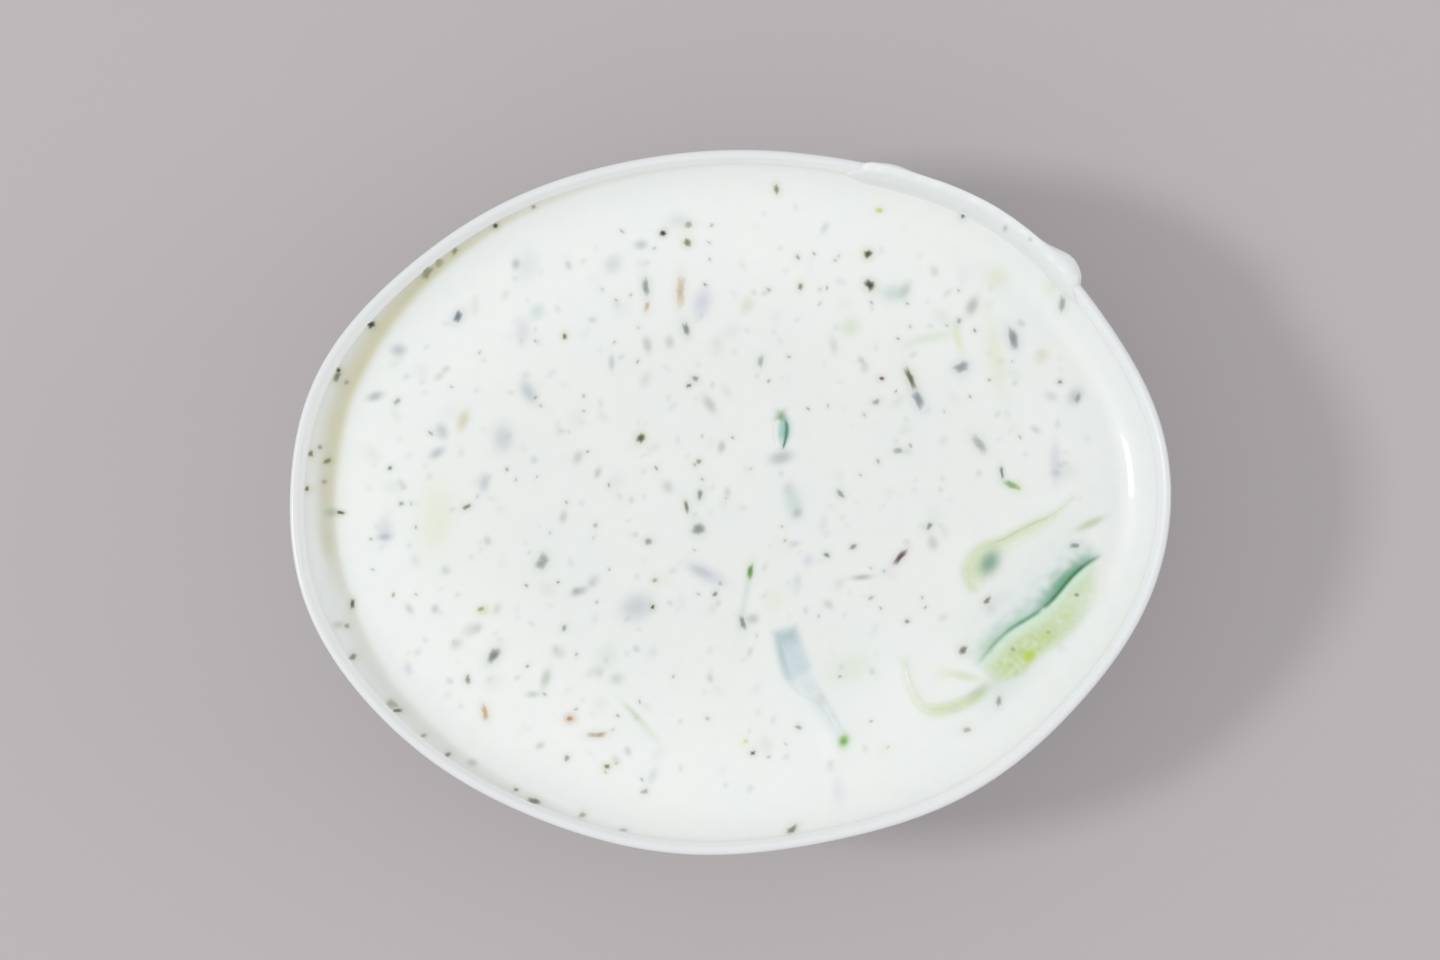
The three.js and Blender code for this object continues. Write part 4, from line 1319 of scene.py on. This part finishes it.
def make_smear():
    """Dip that was wiped over the rim: a lumpy ridge that grows out of the dip beside it."""
    core = np.array([CONTACT_INSET + 0.6, HEIGHT - 3.6])
    rings = []
    for i in range(SMEAR_SLICES + 1):
        angle = SMEAR_FROM + (SMEAR_TO - SMEAR_FROM) * i / SMEAR_SLICES
        ends = blend(SMEAR_FROM - 1, SMEAR_FROM - 1 + SMEAR_TAPER, angle)
        ends = ends * (1 - blend(SMEAR_TO + 1 - SMEAR_TAPER, SMEAR_TO + 1, angle))
        lumps = [size * math.exp(-(((angle - at) / spread) ** 2)) for at, size, spread in SMEAR_LUMPS]
        out = 0.1 + max(lumps)
        rise = SMEAR_RISE * (0.8 + 0.12 * math.sin(angle * 0.9) + 0.08 * math.sin(angle * 2.3))
        corners = np.array(
            [
                (-out, HEIGHT - 1.4),
                (RIM_RADIUS, HEIGHT - 2),
                (CONTACT_INSET + 0.3, HEIGHT - 4),
                (CONTACT_INSET + 1.1, HEIGHT - 3.8),
                (CONTACT_INSET + 0.7, HEIGHT - 2.7),
                (CONTACT_INSET + 0.35, HEIGHT - 1.4),
                (1.35, HEIGHT + 0.2 * rise),
                (0.65, HEIGHT + 0.8 * rise),
                (-0.3 * out, HEIGHT + 0.75 * rise),
                (-1.2 * out, HEIGHT - 0.4),
            ]
        )
        outline = rounded(core + (corners - core) * ends, 5)
        turn = np.full(len(outline), math.radians(angle))
        rings.append(oval(turn, outline[:, 0], outline[:, 1]))
    first = oval(np.array(math.radians(SMEAR_FROM - 0.5)), *core)
    last = oval(np.array(math.radians(SMEAR_TO + 0.5)), *core)
    piece = loft("dip_smear", rings, first, last)
    points = np.concatenate([np.concatenate(rings), [first, last]])
    colours = np.tile(SMEAR_WHITE, (len(points), 1))
    for speck in SMEAR_SPECKS:
        stain(colours, points, speck)
    paint(piece, colours)
    piece.data.materials.append(bpy.data.materials["yoghurt"])


PIECE_SLOTS = {
    "cucumber_slice": "cucumber",
    "cucumber_curl": "cucumber",
    "cucumber_hook": "cucumber",
    "cucumber_strip": "cucumber_sunken",
    "herb_leaf": "herb",
}


def make_piece(name, material, marks):
    """A piece in the dip: its top rises out of the dip without a corner, and its sides stay under."""
    rings = PIECES[name]["rings"].copy()
    stands = PIECES[name]["stands"]
    surface = dip_height(rings[..., 0].ravel(), rings[..., 1].ravel(), over_pieces=True)
    surface = surface.reshape(stands.shape)
    sides = np.minimum(rings[..., 2], surface - SIDES_UNDER)
    rings[..., 2] = np.where(np.isnan(stands), sides, surface + stands)
    piece = loft(name + "_shaped", rings, rings[0].mean(0), rings[-1].mean(0), name)
    crease(piece)
    points = np.concatenate([rings.reshape(-1, 3), [rings[0].mean(0), rings[-1].mean(0)]])
    paint(piece, dip_colours(points, marks))
    piece.data.materials.append(material)


FLECK_SIDES = 12
# The rings of a fleck: how far out, how high, and how much the dip covers it
FLECK_RINGS = [(1.45, -0.1, 1), (1.1, 0.15, 0.72), (0.8, 0.5, 0.3), (0.42, 0.85, 0.04)]


def fleck_points(x, y, length, breadth, heading, seed):
    """A domed flake with an uneven outline: its points, and their heights over the dip."""
    turn = math.radians(heading)
    stands = 0.4 * min(FLECK_STANDS, 0.3 * breadth)
    angle = 2 * math.pi * np.arange(FLECK_SIDES) / FLECK_SIDES
    uneven = np.array([0.7 + 0.45 * draw(seed, 10 + k) for k in range(FLECK_SIDES)])
    far = length / 2 * uneven * np.sign(np.cos(angle)) * np.abs(np.cos(angle)) ** 0.75
    wide = breadth / 2 * uneven * np.sign(np.sin(angle)) * np.abs(np.sin(angle)) ** 0.75
    rings = []
    for out, up, _ in FLECK_RINGS:
        px = x + out * (far * math.cos(turn) - wide * math.sin(turn))
        py = y + out * (far * math.sin(turn) + wide * math.cos(turn))
        rings.append(np.stack([px, py, np.full(FLECK_SIDES, up * stands)], 1))
    return np.concatenate([*rings, [(x, y, -0.6 * stands), (x, y, stands * 0.95)]])


def make_flecks(flecks, marks):
    """All flecks of a kind are one piece. The dip laps over their edges."""
    faces_of_one = loft_faces(len(FLECK_RINGS), FLECK_SIDES)
    film = np.concatenate([np.full(FLECK_SIDES, ring[2]) for ring in FLECK_RINGS] + [[0, 0]])
    size = len(film)
    whole = np.full(size, True)
    for kind, (colour, _) in KINDS.items():
        chosen = [i for i, fleck in enumerate(flecks) if fleck[5] == kind]
        points = np.concatenate([fleck_points(*flecks[i][:5], i) for i in chosen])
        x, y = points[:, 0], points[:, 1]
        points[:, 2] += dip_height(x, y) + 0.15 * FILLET * np.exp(-from_wall(x, y) / FILLET_WIDTH)
        faces = [[size * k + v for v in face] for k in range(len(chosen)) for face in faces_of_one]
        piece = make_mesh("flecks_" + kind, points, faces)
        crease(piece)
        tones = dip_colours(points, marks)
        for k, i in enumerate(chosen):
            own = tones[size * k : size * (k + 1)]
            shade = colour * (0.75 + 0.5 * draw(i, 5))
            lay(own, whole, shade, (1 - film) * flecks[i][6])
        paint(piece, tones)
        piece.data.materials.append(bpy.data.materials["herb_flakes"])


def halo_of(fleck):
    """The soft mark that a fleck in the surface makes round it."""
    x, y, length, breadth, heading, kind, strength = fleck
    colour = mixed(*KINDS[kind], 0.7)
    return (x, y, length * 1.3 + 0.4, breadth * 1.4 + 0.5, heading, colour, 0.42 * strength)


def blur_of(fleck):
    """The soft mark of a fleck just under the surface."""
    x, y, length, breadth, heading, kind, strength = fleck
    return (x, y, length * 1.1 + 0.3, breadth * 1.1 + 0.3, heading, KINDS[kind][0], 0.9 * strength)


# ---- The stage --------------------------------------------------------------------------------


FLOOR_REACH = 3.0  # metres each way
FLOOR_GREY = linear(188, 182, 182)
LIGHT_COLOUR = (1.0, 0.985, 0.96)
KEY_DISTANCE = 2.5  # metres
KEY_RISE = 50  # degrees above the floor
KEY_TURN = 180  # degrees from +X
KEY_SIZE = 0.39
KEY_POWER = 16.5
FILL_PLACE = (2.3, 0, 1.05)
FILL_SIZE = 1.2
FILL_POWER = 6
SKY_COLOUR = (0.955, 0.975, 1.0, 1)
SKY_STRENGTH = 0.77


def make_floor():
    """A plain grey floor."""
    mesh = bpy.data.meshes.new("floor")
    corners = [(-1, -1), (1, -1), (1, 1), (-1, 1)]
    points = [(x * FLOOR_REACH, y * FLOOR_REACH, 0) for x, y in corners]
    mesh.from_pydata(points, [], [(0, 1, 2, 3)])
    floor = bpy.data.objects.new("floor", mesh)
    bpy.context.collection.objects.link(floor)
    material, tree, shader = new_material("paper", 0.9)
    add_variation(tree, shader, FLOOR_GREY, add_noise(tree, 6), 0.01)
    mesh.materials.append(material)


# The photograph's frame, in its own pixels
PHOTO_WIDTH = 1440
PHOTO_HEIGHT = 960
DISH_MIDDLE = (724, 498)
DISH_HALF_LENGTH = 441.5
DISH_TURN = 3  # degrees, the right end higher
CAMERA_DISTANCE = 0.5
CAMERA_LEAN = 6  # degrees from straight above
CAMERA_SIDE = 55  # degrees from -Y towards +X
SENSOR = 36


def make_camera():
    """The photograph's camera, nearly straight above the dish."""
    scale = DISH_HALF_LENGTH / (LENGTH / 2 * MM)  # pixels per metre at the rim
    lean, side = math.radians(CAMERA_LEAN), math.radians(CAMERA_SIDE)
    back = Vector((math.sin(lean) * math.sin(side), -math.sin(lean) * math.cos(side), math.cos(lean)))
    turn = math.radians(DISH_TURN)
    right = Vector((math.cos(turn), -math.sin(turn), 0))
    right = (right - back * right.dot(back)).normalized()
    up = back.cross(right)
    off_right = (DISH_MIDDLE[0] - PHOTO_WIDTH / 2) / scale
    off_down = (DISH_MIDDLE[1] - PHOTO_HEIGHT / 2) / scale
    place = Vector((0, 0, HEIGHT * MM)) - right * off_right + up * off_down + back * CAMERA_DISTANCE
    data = bpy.data.cameras.new("camera")
    data.sensor_width = SENSOR
    data.lens = scale * CAMERA_DISTANCE * SENSOR / PHOTO_WIDTH
    camera = bpy.data.objects.new("camera", data)
    axes = Matrix((right, up, back)).transposed().to_4x4()
    camera.matrix_world = Matrix.Translation(place) @ axes
    bpy.context.collection.objects.link(camera)
    bpy.context.scene.camera = camera


def add_area(name, place, size, power, colour):
    """A square light that faces the dish."""
    data = bpy.data.lights.new(name, "AREA")
    data.size = size
    data.energy = power
    data.color = colour
    light = bpy.data.objects.new(name, data)
    light.location = place
    away = Vector(place) - Vector((0, 0, HEIGHT * MM))
    light.rotation_mode = "QUATERNION"
    light.rotation_quaternion = away.to_track_quat("Z", "Y")
    bpy.context.collection.objects.link(light)


def make_light():
    """A small key light from the left, a weak fill from the right and an even sky."""
    rise, turn = math.radians(KEY_RISE), math.radians(KEY_TURN)
    key = (
        KEY_DISTANCE * math.cos(rise) * math.cos(turn),
        KEY_DISTANCE * math.cos(rise) * math.sin(turn),
        KEY_DISTANCE * math.sin(rise),
    )
    add_area("key", key, KEY_SIZE, KEY_POWER, LIGHT_COLOUR)
    add_area("fill", FILL_PLACE, FILL_SIZE, FILL_POWER, LIGHT_COLOUR)
    world = bpy.data.worlds.new("studio")
    world.use_nodes = True
    background = world.node_tree.nodes["Background"]
    background.inputs["Color"].default_value = SKY_COLOUR
    background.inputs["Strength"].default_value = SKY_STRENGTH
    bpy.context.scene.world = world
    bpy.context.scene.view_settings.view_transform = "Standard"


dip_material()
wet_cucumber = food_material("cucumber_flesh", 0.35, 0.07, 0.3, 0.15)
food_material("herb_flakes", 0.6, 0.25, 0.1, 0)
shown = [*LARGE_FLECKS, *EDGE_FLECKS, *dark_flecks()]
flecks = [*shown, *(fleck for fleck in small_flecks(FLECK_COUNT) if clear_of(shown, fleck))]
crisp = [fleck for fleck in flecks if fleck[6] >= CRISP * min(1, fleck[2])]
blurred = [fleck for fleck in flecks if fleck not in crisp]
marks = [*SUNKEN, *smudges(), *map(halo_of, crisp), *map(blur_of, blurred)]
make_bowl()
make_dip(marks, blurred)
make_smear()
for name, slot in PIECE_SLOTS.items():
    make_piece(name, wet_cucumber, marks)
make_flecks(crisp, marks)
make_floor()
make_camera()
make_light()
